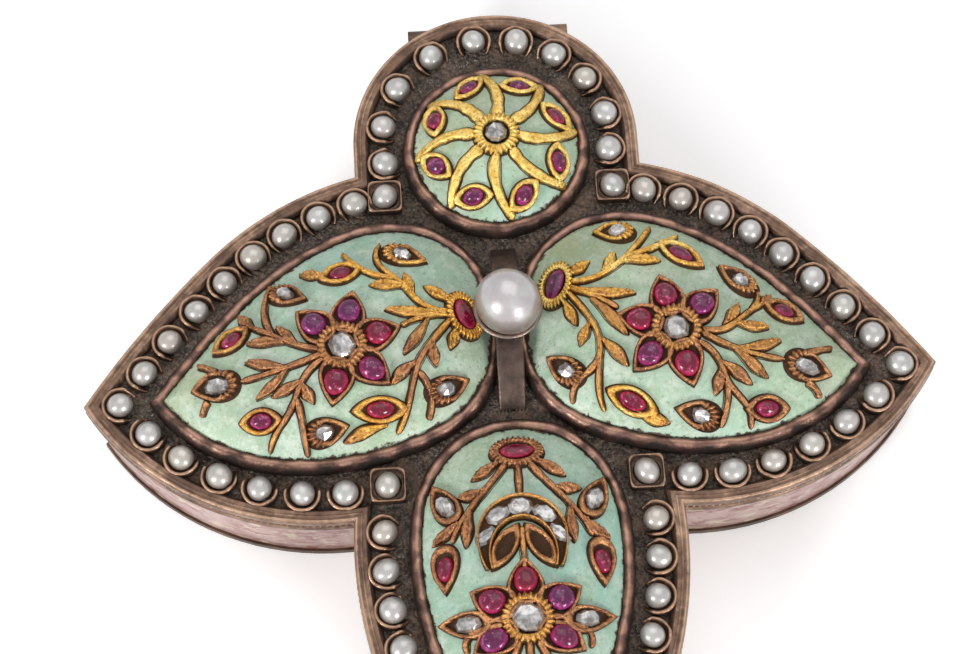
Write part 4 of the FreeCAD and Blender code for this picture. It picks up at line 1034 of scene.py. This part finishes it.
class Spray:
    """Heaps for one boss: metalwork, collets, red stones and diamonds."""

    def __init__(self, boss, spots, least, mirrored=False):
        self.boss = boss
        self.tone = soft_patches(spots, least)
        self.metal = Heap(mirrored)
        self.collets = Heap(mirrored)
        self.rubies = Heap(mirrored)
        self.diamonds = Heap(mirrored)

    def foliage(self, stems, leaves):
        """Stems along their paths, and leaves that differ a little in width and bend."""
        for path in stems:
            stem(self.metal, self.boss, path, stem_width, self.tone)
        for ends in leaves:
            width = leaf_width * rng.uniform(*leaf_width_spread)
            bend = rng.choice([-1, 1]) * rng.uniform(*leaf_bend)
            leaf(self.metal, self.boss, ends, width, self.tone, bend)

    def rose(self, centre, turn, hues, collet_tone, petal_tone, stone):
        """Flower: petals at even turns, each with a stone, round a toothed collet with a diamond."""
        for part, hue in enumerate(hues, 1):
            way = turn + part * rose_step
            ends = [polar(centre, petal_root, way), polar(centre, petal_reach, way)]
            tray(self.metal, self.boss, ends, petal_width, teardrop, petal_tone)
            cabochon(self.rubies, self.boss, polar(centre, petal_stone_place, way), petal_stone, way, hue)
        share = collet_opening / collet_radius
        collet(self.collets, self.boss, centre, (collet_radius,) * 2, share, 0, collet_tone)
        rose_cut(self.diamonds, self.boss, centre, (stone,) * 2, turn=0, rise=0.75, foot=0.3)

    def root(self, centre, turn, hue, tone):
        """Oval collet with a low cabochon at the foot of the spray."""
        collet(self.collets, self.boss, centre, oval_collet, oval_opening, turn, tone, oval_teeth)
        cabochon(self.rubies, self.boss, centre, oval_stone, turn, hue, rise=0.42, foot=0.45)

    def navettes(self, list_of_ends, hues, width=navette_width, outline=vesica):
        """Pointed settings, each with a cabochon in its middle."""
        for ends, hue in zip(list_of_ends, hues):
            tray(self.metal, self.boss, ends, width, outline, self.tone)
            reach = (length_of(ends) * navette_stone_share, navette_stone)
            cabochon(self.rubies, self.boss, middle_of(ends), reach, heading_of(ends), hue,
                     rise=navette_stone_rise)

    def buds(self, list_of_ends, width=bud_width, reach=bud_stone, share=bud_stone_place, fluted=1.0):
        """Drop-shaped settings, each with a diamond near its round end."""
        for ends in list_of_ends:
            tray(self.metal, self.boss, ends, width, teardrop, self.tone, fluted)
            rose_cut(self.diamonds, self.boss, middle_of(ends, share), reach, heading_of(ends))

    def make(self, side_name):
        """The heaps as four pieces named for their boss."""
        kinds = [("spray", self.metal, gilt, "gilt_metal"), ("collets", self.collets, gilt, "gilt_metal"),
                 ("rubies", self.rubies, ruby, "ruby"), ("diamonds", self.diamonds, diamond, "diamond")]
        for kind, heap, material, slot in kinds:
            heap.make(side_name + "_" + kind, material, "lid", [kind + "_" + side_name], slot,
                      smooth=kind != "diamonds")


# Side sprays
left = Spray(side, left_gilding, left_gold["least"], mirrored=True)
left.foliage(left_stems, left_leaves)
left.rose(side_centre, side_turn, left_petal_hues, evenly(left_gold["collet"]),
          evenly(left_gold["petals"]), side_diamond)
left.root(left_oval, oval_turn, left_oval_hue, evenly(left_gold["root"]))
left.navettes(left_navettes, left_navette_hues)
left.buds(left_buds)
left.buds([left_pear], pear_width, pear_stone, pear_stone_place)
left.make("left")

right = Spray(side, right_gilding, right_gold["least"])
right.foliage(right_stems, right_leaves)
right.rose(side_centre, side_turn, right_petal_hues, evenly(right_gold["collet"]),
           evenly(right_gold["petals"]), side_diamond)
right.root(right_oval, oval_turn, right_oval_hue, evenly(right_gold["root"]))
right.navettes(right_navettes, right_navette_hues)
right.buds(right_buds)
right.buds([right_pear], pear_width, pear_stone, pear_stone_place)
right.make("right")

# Front spray
spray = Spray(front, front_gilding, front_gold["least"])
spray.foliage(both_sides(front_stems) + front_middle_stems, both_sides(front_leaves))
spray.rose(front_centre, front_turn, front_petal_hues, evenly(front_gold["collet"]),
           evenly(front_gold["petals"]), front_diamond)
spray.root(front_oval, 0, front_oval_hue, evenly(front_gold["root"]))
spray.navettes(both_sides(front_navettes), front_navette_hues, front_navette_width, teardrop)
spray.buds(both_sides(front_buds), reach=front_bud_stone, fluted=0.0)
spray.buds([front_pear], pear_width, pear_stone, pear_stone_place)
for ends in both_sides([loop_leaf]):
    tray(spray.metal, front, ends, loop_leaf_width, vesica, evenly(front_gold["loops"]))
spray.make("front")


def crescent_edges(share):
    """Outer and inner edge of the crescent: half an arch whose legs run on below its middle, and an oval
    arch set lower."""
    outer = math.radians(-crescent_ends[0]) + math.radians(180 + 2 * crescent_ends[0]) * share
    inner = math.radians(-crescent_ends[1]) + math.radians(180 + 2 * crescent_ends[1]) * share
    leg = np.where(np.sin(outer) < 0, crescent_leg, crescent_radius)
    narrow = np.where(np.sin(outer) < 0, 0.7, 1.0)
    ox = crescent_radius * np.sign(np.cos(outer)) * np.abs(np.cos(outer)) ** narrow
    ix = crescent_bite[0] * np.cos(inner)
    iy = crescent_bite[1] * np.sin(inner) - crescent_drop
    return (np.stack([crescent_centre[0] + ox, crescent_centre[1] + leg * np.sin(outer)], axis=-1),
            np.stack([crescent_centre[0] + ix, crescent_centre[1] + iy], axis=-1))


def crescent_band(heap, tone, steps=96):
    """Crescent: thin raised edges and a sunk dark floor between its outer and inner edge."""
    outer, inner = crescent_edges(np.linspace(0, 1, steps))
    band = np.linalg.norm(outer - inner, axis=1)
    inset = np.array([-seam, -seam, 0.0, 0.02, 0.10, 0.2, 0.25])
    level = np.array([-buried, seam_level, 0.3, 0.78, 0.88, 0.8, 0.3])
    bright = np.array([0, 0, 0.3, 0.9, 1.0, 0.7, 0.0])
    share = inset[:, None] / band
    share = np.concatenate([share, 1 - share[::-1]])
    h = np.concatenate([level, level[::-1]])[:, None] * np.ones(steps)
    x = outer[:, 0] + (inner - outer)[:, 0] * share
    y = outer[:, 1] + (inner - outer)[:, 1] * share
    heap.grid(front.lift(x, y, h), rows_close=True, columns_close=False,
              tone=tone(x, y), crest=np.concatenate([bright, bright[::-1]])[:, None])


crescent = Heap()
crescent_band(crescent, evenly(front_gold["crescent"]))
crescent.make("crescent_band", gilt, "lid", ["crescent"], "gilt_metal")
crescent_set = Heap()
stone_steps = np.arange(crescent_stones) - (crescent_stones - 1) / 2
stone_shares = 0.5 + crescent_spread / (180 + 2 * crescent_ends[0]) * stone_steps
for outer, inner in zip(*crescent_edges(stone_shares)):
    half_band = np.linalg.norm(outer - inner) / 2
    reach = (half_band - crescent_stone_gap, crescent_stone_length)
    turn = heading_of([inner, outer])
    rose_cut(crescent_set, front, (outer + inner) / 2, reach, turn, rise=0.42, foot=0.3)
crescent_set.make("crescent_stones", diamond, "lid", ["crescent_diamonds"], "diamond", smooth=False)

# Pinwheel
wheel = Spray(back, [], 1.0)
for arm in range(pinwheel_arms):
    turn = (arm + 0.5) * 360 / pinwheel_arms
    path = [polar(back_centre, r, turn + lag) for r, lag in pinwheel_arm]
    stem(wheel.metal, back, path, pinwheel_arm_width, wheel.tone)
    ends = [polar(back_centre, r, turn + lag) for r, lag in pinwheel_navette]
    wheel.navettes([ends], [pinwheel_stone_hues[arm]], pinwheel_navette_width)
collet(wheel.collets, back, back_centre, (pinwheel_hub,) * 2, pinwheel_hub_opening, 0, wheel.tone)
rose_cut(wheel.diamonds, back, back_centre, (pinwheel_diamond,) * 2, turn=0, rise=0.75, foot=0.4)
wheel.metal.make("pinwheel", gilt, "lid", ["pinwheel_arms"], "gilt_metal")
wheel.collets.make("pinwheel_collet", gilt, "lid", ["pinwheel_hub"], "gilt_metal")
wheel.rubies.make("back_rubies", ruby, "lid", ["rubies_back"], "ruby")
wheel.diamonds.make("back_diamond", diamond, "lid", ["diamond_back"], "diamond", smooth=False)


# Enamelled domes and their bezels
def enamel_dome(name, boss, mirrored, rows=40, steps=240):
    """Dome: copies of its edge scaled towards the centre, each raised by the dome's rule. How far a point
    lies inside the edge decides where the enamel is chipped."""
    edge = boss.outline(bezel_width, steps) - boss.centre
    share = np.sin(np.linspace(math.pi / 2, 0, rows))[:, None]
    x = boss.centre[0] + share * edge[:, 0]
    y = boss.centre[1] + share * edge[:, 1]
    z = boss_base + boss.rise * (1 - share ** 2) ** dome_power * np.ones(steps)
    z = z + 0.035 * wobble(x, y, 7.0, 31) * (1 - share ** 8)
    inside = (1 - share) * np.linalg.norm(edge, axis=1) * chip_share
    floor = np.full((1, steps), plate_top)
    foot_x = np.concatenate([np.full((1, steps), boss.centre[0]), x[:1]])
    foot_y = np.concatenate([np.full((1, steps), boss.centre[1]), y[:1]])
    x = np.concatenate([foot_x, x])
    y = np.concatenate([foot_y, y])
    z = np.concatenate([floor, floor, z])
    inside = np.concatenate([np.zeros((2, steps)), inside])
    warm, bluish = [soft_patches(spots)(x, y) for spots in enamel_tints[name]]
    heap = Heap(mirrored)
    heap.grid(np.stack([x, y, z], axis=-1), inside=inside, warm=warm, bluish=bluish)
    heap.make(name + "_enamel", enamel, "lid", ["enamel_" + name], "green_enamel")


bezel_insets = np.array([-0.20, -0.24, -0.16, 0.0, 0.2, 0.42, 0.62, 0.80, 0.94, 1.0, 0.98])
bezel_levels = np.array([10.3, 11.0, 11.45, 11.78, 11.98, 12.06, 12.04, 11.95, 11.80, 11.6, 10.9])
bezel_crests = np.array([0.0, 0.06, 0.16, 0.36, 0.66, 0.95, 1.0, 0.8, 0.4, 0.1, 0.0])


def bezel(name, boss, mirrored, sink, steps=300):
    """Rounded collar: a half-round profile carried round the boss, a little uneven, and sunk where the
    side bosses crowd the knob."""
    loops = np.stack([boss.outline(inset, steps) for inset in bezel_insets])
    x = loops[..., 0]
    y = loops[..., 1]
    sunk = sink * smoothstep(7.0, 3.0, np.abs(x)) * smoothstep(-7.0, -4.0, y)
    z = bezel_levels[:, None] + (0.07 * wobble(x, y, 2.6, 41) - sunk) * (bezel_levels > 11.2)[:, None]
    x = x + 0.05 * wobble(x, y, 3.1, 42)
    y = y + 0.05 * wobble(x, y, 3.3, 43)
    heap = Heap(mirrored)
    # Crest: where it is high the bronze finish adds rubbed wear and a painted highlight, where it is low
    # grime and painted shade; the wobble breaks both into patches.
    crest = bezel_crests[:, None] + 0.4 * wobble(x, y, 2.4, 44) - 0.1
    heap.grid(np.stack([x, y, z], axis=-1), rows_close=True, crest=np.clip(crest, 0, 1))
    heap.make(name + "_bezel", bezel_metal, "lid", ["bezel_" + name], "dark_bronze")


bosses = {"left": side, "right": side, "front": front, "back": back}
for name, boss in bosses.items():
    enamel_dome(name, boss, mirrored=name == "left")
for name, boss in bosses.items():
    bezel(name, boss, mirrored=name == "left", sink=side_bezel_sink if boss is side else 0.0)


# Lid edge: ribbed moulding and milled wire
moulding_insets = np.array([
    0.05, 0.0, 0.0, 0.10, 0.34, 0.36, 0.34, 0.10, 0.0, 0.0, 0.05, 0.14, 0.26, 0.36, 0.46, 0.54,
    0.62, 0.72, 0.80, 0.88, 1.02, 1.14, 1.24, 1.36, 1.5, 1.6, 1.6])
moulding_levels = np.array([
    9.0, 9.1, 9.55, 9.68, 9.74, 9.95, 10.16, 10.22, 10.34, 10.85, 11.05, 11.17, 11.20,
    11.15, 11.08, 11.08, 11.15, 11.16, 11.12, 11.05, 11.10, 11.13, 11.06, 10.92, 10.80, 10.60, 9.9])
moulding_crests = np.array([
    0.1, 0.5, 0.8, 0.5, 0.1, 0.0, 0.1, 0.5, 0.8, 0.7, 0.8, 0.95, 0.95, 0.75, 0.45, 0.45,
    0.6, 0.65, 0.6, 0.5, 0.55, 0.55, 0.4, 0.2, 0.12, 0.05, 0.0])


def lid_moulding(uneven=0.03):
    """Ring: a closed profile of insets and levels carried round the lid edge, a little uneven."""
    loops = np.stack([lid_loop(inset) for inset in moulding_insets])
    x = loops[..., 0]
    y = loops[..., 1]
    z = moulding_levels[:, None] + uneven * wobble(x, y, 4.0, 51)
    # Crest: where it is high the bronze finish adds rubbed wear and a painted highlight, where it is low
    # grime and painted shade.
    crest = moulding_crests[:, None] + 0.2 * wobble(x, y, 6.0, 52)
    heap = Heap()
    heap.grid(np.stack([x, y, z], axis=-1), rows_close=True, crest=np.clip(crest, 0, 1))
    heap.make("lid_moulding", edge_metal, "lid", ["edge_moulding"], "dark_bronze")


def milled_wire(radius=0.2, inset=0.2, level=9.95, pitch=0.62, around=8):
    """Wire whose section swells and shrinks along its length and slants, like two twisted strands."""
    loop = lid_loop(inset, (300, 200, 110, 110, 24), 300)
    reach = np.concatenate([[0], np.cumsum(np.linalg.norm(np.diff(loop, axis=0), axis=1))])
    closed = np.linalg.norm(loop[-1] - loop[0]) + reach[-1]
    turns = round(closed / pitch)
    normal = left_normal(np.concatenate([loop[-1:], loop, loop[:1]]))[1:-1]
    angle = np.arange(around)[:, None] * TURN / around
    swell = radius * (1 + 0.22 * np.cos(reach / closed * turns * TURN + angle))
    x = loop[:, 0] + normal[:, 0] * swell * np.cos(angle)
    y = loop[:, 1] + normal[:, 1] * swell * np.cos(angle)
    z = level + swell * np.sin(angle)
    heap = Heap()
    # Crest: the swells get rubbed wear and a painted highlight from the bronze finish, the narrows grime
    # and painted shade.
    crest = np.clip((swell / radius - 0.75) * 2, 0, 1)
    heap.grid(np.stack([x, y, z], axis=-1), rows_close=True, crest=crest)
    heap.make("milled_edge_wire", edge_metal, "lid", ["milled_wire"], "dark_bronze")


lid_moulding()
milled_wire()


# Rim pearls in their collets
def pearl(heap, place, radius, level, age, rows=16, steps=24, uneven=0.035, squash=0.94):
    """Slightly lumpy ball, warmer in colour with age from 0 to 1."""
    lean = np.linspace(0, math.pi, rows)[:, None]
    angle = np.arange(steps) * TURN / steps
    seed = int(rng.integers(1, 10000))
    px = radius * np.sin(lean) * np.cos(angle)
    py = radius * np.sin(lean) * np.sin(angle)
    lump = 1 + uneven * wobble(px, py + np.cos(lean) * 2, 2.6 * radius, seed)
    stretch = rng.uniform(0.95, 1.06)
    turn = rng.uniform(0, TURN)
    x, y = placed(place, turn, lump * px * stretch, lump * py / stretch)
    z = level + radius * squash * lump * np.cos(lean)
    heap.grid(np.stack([x, y, z], axis=-1), top=np.cos(lean), age=age)


wall_across = np.array([-1.0, -1.05, -0.7, -0.1, 0.5, 0.9, 1.6, 2.6, 2.8])
wall_level = np.array([0.0, 0.75, 0.96, 1.0, 0.93, 0.74, 0.56, 0.46, 0.0])
# Crest: where it is high the bronze finish adds rubbed wear and a painted highlight, where it is low
# grime and painted shade.
wall_crest = np.array([0.05, 0.45, 0.95, 1.0, 0.75, 0.55, 0.45, 0.35, 0.0])


def wall_along(heap, path, taper):
    """Thin wall with a rounded lip along an open plan path; its width and height follow the taper."""
    normal = left_normal(path)
    half = pearl_wall / 2
    across = wall_across[:, None] * half * (0.25 + 0.75 * taper)
    x = path[:, 0] + normal[:, 0] * across
    y = path[:, 1] + normal[:, 1] * across
    uneven = 1 + 0.12 * wobble(path[:, 0], path[:, 1], 1.7, 61)
    z = plate_top - 0.1 + wall_level[:, None] * pearl_wall_height * taper * uneven
    heap.grid(np.stack([x, y, z], axis=-1), rows_close=True, columns_close=False,
              crest=wall_crest[:, None] * np.ones(len(path)))


def horseshoe(heap, place, inward, steps=34):
    """Collet with a round outer end and two legs that run towards the bosses."""
    leg = np.linspace(1, 0, 7)[:-1]
    bend = np.linspace(math.pi / 2, 1.5 * math.pi, steps)
    px = np.concatenate([leg * pearl_leg, pearl_collet * np.cos(bend), leg[::-1] * pearl_leg])
    py = np.concatenate([0 * leg + pearl_collet, pearl_collet * np.sin(bend), 0 * leg - pearl_collet])
    py = py * (1 - pearl_leg_pinch * np.clip(px / pearl_leg, 0, None) ** 2)
    a = math.atan2(inward[1], inward[0]) + rng.normal(0, 0.06)
    path = np.stack(placed(place, a, px, py), axis=1)
    taper = smoothstep(0, 0.22, 1 - np.abs(np.linspace(-1, 1, len(path))))
    wall_along(heap, path, 0.25 + 0.75 * taper)


def square_frame(heap, place, half=1.68, seat=1.36, steps=64):
    """Corner collet: a square rim with rounded corners, a sunk floor and a round seat for the pearl."""
    angle = (np.arange(steps) + 0.5) * TURN / steps
    ring = np.stack([np.cos(angle), np.sin(angle)])
    block = np.sign(ring) * np.abs(ring) ** 0.2 * half
    seat_share = np.array([0, 0, 0.1, 0.4, 0.5, 0.92, 1.0, 1.0])[:, None]
    x = place[0] + block[0] * (1 - seat_share) + ring[0] * seat * seat_share
    y = place[1] + block[1] * (1 - seat_share) + ring[1] * seat * seat_share
    z = plate_top + np.array([-0.1, 0.75, 0.92, 0.9, 0.6, 0.55, 0.6, -0.1])[:, None] * np.ones(steps)
    # Crest: where it is high the bronze finish adds rubbed wear and a painted highlight, where it is low
    # grime and painted shade.
    crest = np.array([0, 0.5, 0.9, 0.8, 0.15, 0.15, 0.4, 0.0])[:, None]
    heap.grid(np.stack([x, y, z + 0.04 * wobble(x, y, 1.5, 62)], axis=-1), rows_close=True, crest=crest)


def even_run(edges, count, shift=0.0):
    """Places at even steps along arcs, between the pearls at their two ends, with the way inwards.
    A shift moves them along, in full from halfway on."""
    dense = np.concatenate([arc_points(edge, np.linspace(0, 1, 200)) for edge in edges])
    reach = np.concatenate([[0], np.cumsum(np.linalg.norm(np.diff(dense, axis=0), axis=1))])
    share = np.linspace(0, 1, count + 2)[1:-1]
    spots = share * reach[-1] + shift * smoothstep(0, 0.5, share)
    places = np.stack([np.interp(spots, reach, dense[:, i]) for i in (0, 1)], axis=1)
    normal = left_normal(dense)
    inward = np.stack([np.interp(spots, reach, normal[:, i]) for i in (0, 1)], axis=1)
    return list(zip(places, inward))


pearl_edges = inset_edges(pearl_line)
front_run = even_run(pearl_edges[:1], pearls_front, front_shift)
side_run = even_run(pearl_edges[1:2], pearls_lower)
side_run += even_run(pearl_edges[2:4], pearls_upper, upper_shift)
front_corner = pearl_edges[1][1]
tip_place = pearl_edges[2][1]
back_corner = pearl_edges[3][2]
lobe_radius = back_lobe_radius - pearl_line
lobe_places = [polar((0, back_lobe_y), lobe_radius, t) for t in back_pearl_turns]
lobe_run = [(p, np.array([0, back_lobe_y]) - p) for p in lobe_places]


def pearl_row(name, run, corners=(), mirrored=False):
    """One lobe's pearls and collets as two pieces."""
    balls = Heap(mirrored)
    walls = Heap(mirrored)
    for place, inward in run:
        horseshoe(walls, place, inward)
        radius = pearl_radius * rng.uniform(*pearl_size_spread)
        pearl(balls, place, radius, plate_top + pearl_sink, rng.uniform())
    for place in corners:
        square_frame(walls, place)
        pearl(balls, place, pearl_radius, plate_top + pearl_sink, rng.uniform())
    balls.make(name + "_pearls", seed_pearl, "lid", ["pearls_" + name], "pearl")
    walls.make(name + "_pearl_collets", wire_metal, "lid", ["pearl_collets_" + name], "dark_bronze")


side_all = side_run + [(tip_place, np.array([-1.0, 0.0]))]
pearl_row("left", side_all, [front_corner, back_corner], mirrored=True)
pearl_row("right", side_all, [front_corner, back_corner])
front_left = [(p * [-1, 1], n * [-1, 1]) for p, n in front_run]
pearl_row("front", front_run + front_left + [(pearl_edges[0][1], np.array([0.0, 1.0]))])
pearl_row("back", lobe_run)


# Knob
def arched_strap(steps=60):
    """Strap: a ribbed section carried over an arc that springs from the plate on both sides."""
    rise = strap_top - plate_top
    radius = (strap_reach ** 2 + rise ** 2) / (2 * rise)
    half = math.asin(strap_reach / radius)
    across = np.concatenate([np.linspace(-1, 1, 17), np.linspace(1, -1, 5)])
    lift = np.concatenate([1 - 0.10 * np.cos(np.linspace(-1, 1, 17) * 4 * math.pi) ** 2, np.zeros(5)])
    lift[[0, 16]] = 0.75
    # Crest: brighter towards the strap's edges with rubbed wear and a painted highlight; the underside
    # gets grime and painted shade.
    crest = np.concatenate([0.25 + 0.5 * np.abs(np.linspace(-1, 1, 17)) ** 6, np.zeros(5)])
    swing = np.linspace(-half, half, steps)
    depth = radius - strap_thickness + strap_thickness * lift[:, None]
    x = across[:, None] * strap_width / 2 * np.ones(steps)
    heap = Heap()
    heap.grid(np.stack([x, depth * np.sin(swing), strap_top - radius + depth * np.cos(swing)], axis=-1),
              rows_close=True, columns_close=False, crest=crest[:, None] * np.ones(steps))
    heap.make("knob_strap", strap_metal, "lid", ["bridge_strap"], "dark_bronze")


def turned(heap, radii, levels, crests, steps=64):
    """Round piece: a profile of radii and levels turned about the knob's axis."""
    angle = np.arange(steps) * TURN / steps
    x = radii[:, None] * np.cos(angle)
    y = radii[:, None] * np.sin(angle)
    z = levels[:, None] * np.ones(steps)
    heap.grid(np.stack([x, y, z], axis=-1), rows_close=True, crest=crests[:, None])


arched_strap()
cup = Heap()
cup_outer = knob_radius + cup_thickness
cup_inner = knob_radius + cup_play
cup_lean = np.radians(np.linspace(22, 66, 10))
cup_radii = np.concatenate([
    [cup_hole, cup_foot], cup_outer * np.sin(cup_lean), [cup_outer * 0.935, knob_radius * 0.93],
    cup_inner * np.sin(cup_lean[::-1]), [cup_hole]])
cup_levels = np.concatenate([
    [strap_top, strap_top], knob_height - cup_outer * np.cos(cup_lean),
    [knob_height - 1.28, knob_height - 1.26],
    knob_height - cup_inner * np.cos(cup_lean[::-1]), [knob_height - knob_radius - 0.05]])
# Crest: rising to the lip, where the bronze finish adds rubbed wear and a painted highlight; low inside
# and at the foot, with grime and painted shade.
cup_crests = np.concatenate([np.full(2, 0.1), np.linspace(0.1, 0.7, 10), [1.0, 1.0], np.full(11, 0.1)])
turned(cup, cup_radii, cup_levels, cup_crests)
cup.make("knob_cup", strap_metal, "lid", ["pearl_cup"], "dark_bronze")
knob = Heap()
pearl(knob, (0.0, 0.0), knob_radius, knob_height, age=0.0, rows=40, steps=64, uneven=0.006, squash=1.0)
knob.make("knob_pearl_ball", knob_pearl, "lid", ["knob_pearl"], "pearl")

# Finishes of the pieces that keep their own solids
kept_finishes = {
    "base_plate": hinge_metal, "box_wall": lining, "side_enamel": pink_enamel, "hinge_seat": hinge_metal,
    "body_knuckles": hinge_metal, "hinge_pin": hinge_metal, "lid_plate": ground, "lid_skirt": lining,
    "skirt_enamel": pink_enamel, "lid_flange": lining, "lid_knuckles": hinge_metal, "pearl_peg": gilt}
for name, material in kept_finishes.items():
    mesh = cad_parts[name].data
    mesh.materials.clear()
    mesh.materials.append(material)


# Stage, light and camera: the floor and the lamps in metres, the view in millimetres
floor_glow = 0.3
floor_glow_reach = (0.15, 0.7)
sky_light = 0.42


def background_ray(tree):
    """1 for rays from the camera, off a shiny face or through glass, 0 for rays that light the object."""
    start = Signal(tree, None)
    seen = start.node("LightPath", output="Is Camera Ray")
    reflected = start.node("LightPath", output="Is Glossy Ray")
    through = start.node("LightPath", output="Is Transmission Ray")
    return start.math("MINIMUM", seen + reflected + through, 1.0)


def floor_finish():
    """White floor that takes the shadow. To the background's rays it glows a little, and more with the
    distance from the object, where the lamps no longer reach."""
    material = bpy.data.materials.new("white_floor")
    material.use_nodes = True
    tree = material.node_tree
    shader = tree.nodes["Principled BSDF"]
    shader.inputs["Base Color"].default_value = (0.92, 0.92, 0.92, 1)
    shader.inputs["Roughness"].default_value = 0.9
    shader.inputs["Specular IOR Level"].default_value = 0.0
    shader.inputs["Emission Strength"].default_value = 1.0
    start = Signal(tree, None)
    place = start.node("TexCoord", output="Object")
    away = start.node("VectorMath", {"operation": "LENGTH"}, output="Value", n0=place)
    glow = away.step(*floor_glow_reach).blend((floor_glow,) * 3, (1.0, 1.0, 1.0))
    glow = background_ray(tree).blend((0.0, 0.0, 0.0), glow)
    tree.links.new(glow.socket, shader.inputs["Emission Color"])
    return material


floor_half = 1.5
mesh = bpy.data.meshes.new("floor")
corners = [(-floor_half, -floor_half, 0), (floor_half, -floor_half, 0), (floor_half, floor_half, 0),
           (-floor_half, floor_half, 0)]
mesh.from_pydata(corners, [], [(0, 1, 2, 3)])
mesh.materials.append(floor_finish())
floor = bpy.data.objects.new("floor", mesh)
bpy.context.scene.collection.objects.link(floor)


def lamp(name, towards, distance, size, power):
    """Square soft box that faces the middle of the lid from the given direction."""
    data = bpy.data.lights.new(name, "AREA")
    data.size = size
    data.energy = power
    light = bpy.data.objects.new(name, data)
    way = np.array(towards) / np.linalg.norm(towards)
    light.location = way * distance
    light.rotation_mode = "QUATERNION"
    light.rotation_quaternion = Vector(way).to_track_quat("Z", "Y")
    bpy.context.scene.collection.objects.link(light)


lamp("left_box", (-0.69, -0.56, 0.46), distance=0.55, size=0.15, power=1.6)
lamp("right_box", (0.48, -0.82, 0.36), distance=0.55, size=0.13, power=1.45)
lamp("top_box", (0.1, 0.5, 1.0), distance=1.0, size=0.9, power=3.2)

world = bpy.data.worlds.new("studio")
world.use_nodes = True
sky = world.node_tree.nodes["Background"]
sky.inputs["Color"].default_value = (1, 1, 1, 1)
strength = sky_light + background_ray(world.node_tree) * (1 - sky_light)
world.node_tree.links.new(strength.socket, sky.inputs["Strength"])
bpy.context.scene.world = world

image_width = 980
focal_pixels = 2600.0
view_azimuth = math.radians(-3.303)
view_elevation = math.radians(67.0)
view_distance = 251.75
view_target = np.array([-1.710, 0.0, 11.2])
camera_data = bpy.data.cameras.new("camera")
camera_data.sensor_width = 36.0
camera_data.lens = focal_pixels / image_width * camera_data.sensor_width
camera_data.clip_start = 0.01
camera = bpy.data.objects.new("camera", camera_data)
towards = np.array([math.sin(view_azimuth) * math.cos(view_elevation),
                    -math.cos(view_azimuth) * math.cos(view_elevation), math.sin(view_elevation)])
across = np.array([math.cos(view_azimuth), math.sin(view_azimuth), 0.0])
upward = np.cross(towards, across)
stand = (view_target + view_distance * towards) * MM
camera.matrix_world = Matrix([[across[i], upward[i], towards[i], stand[i]] for i in range(3)]
                                + [[0, 0, 0, 1]])
bpy.context.scene.collection.objects.link(camera)
bpy.context.scene.camera = camera
bpy.context.scene.view_settings.view_transform = "Standard"
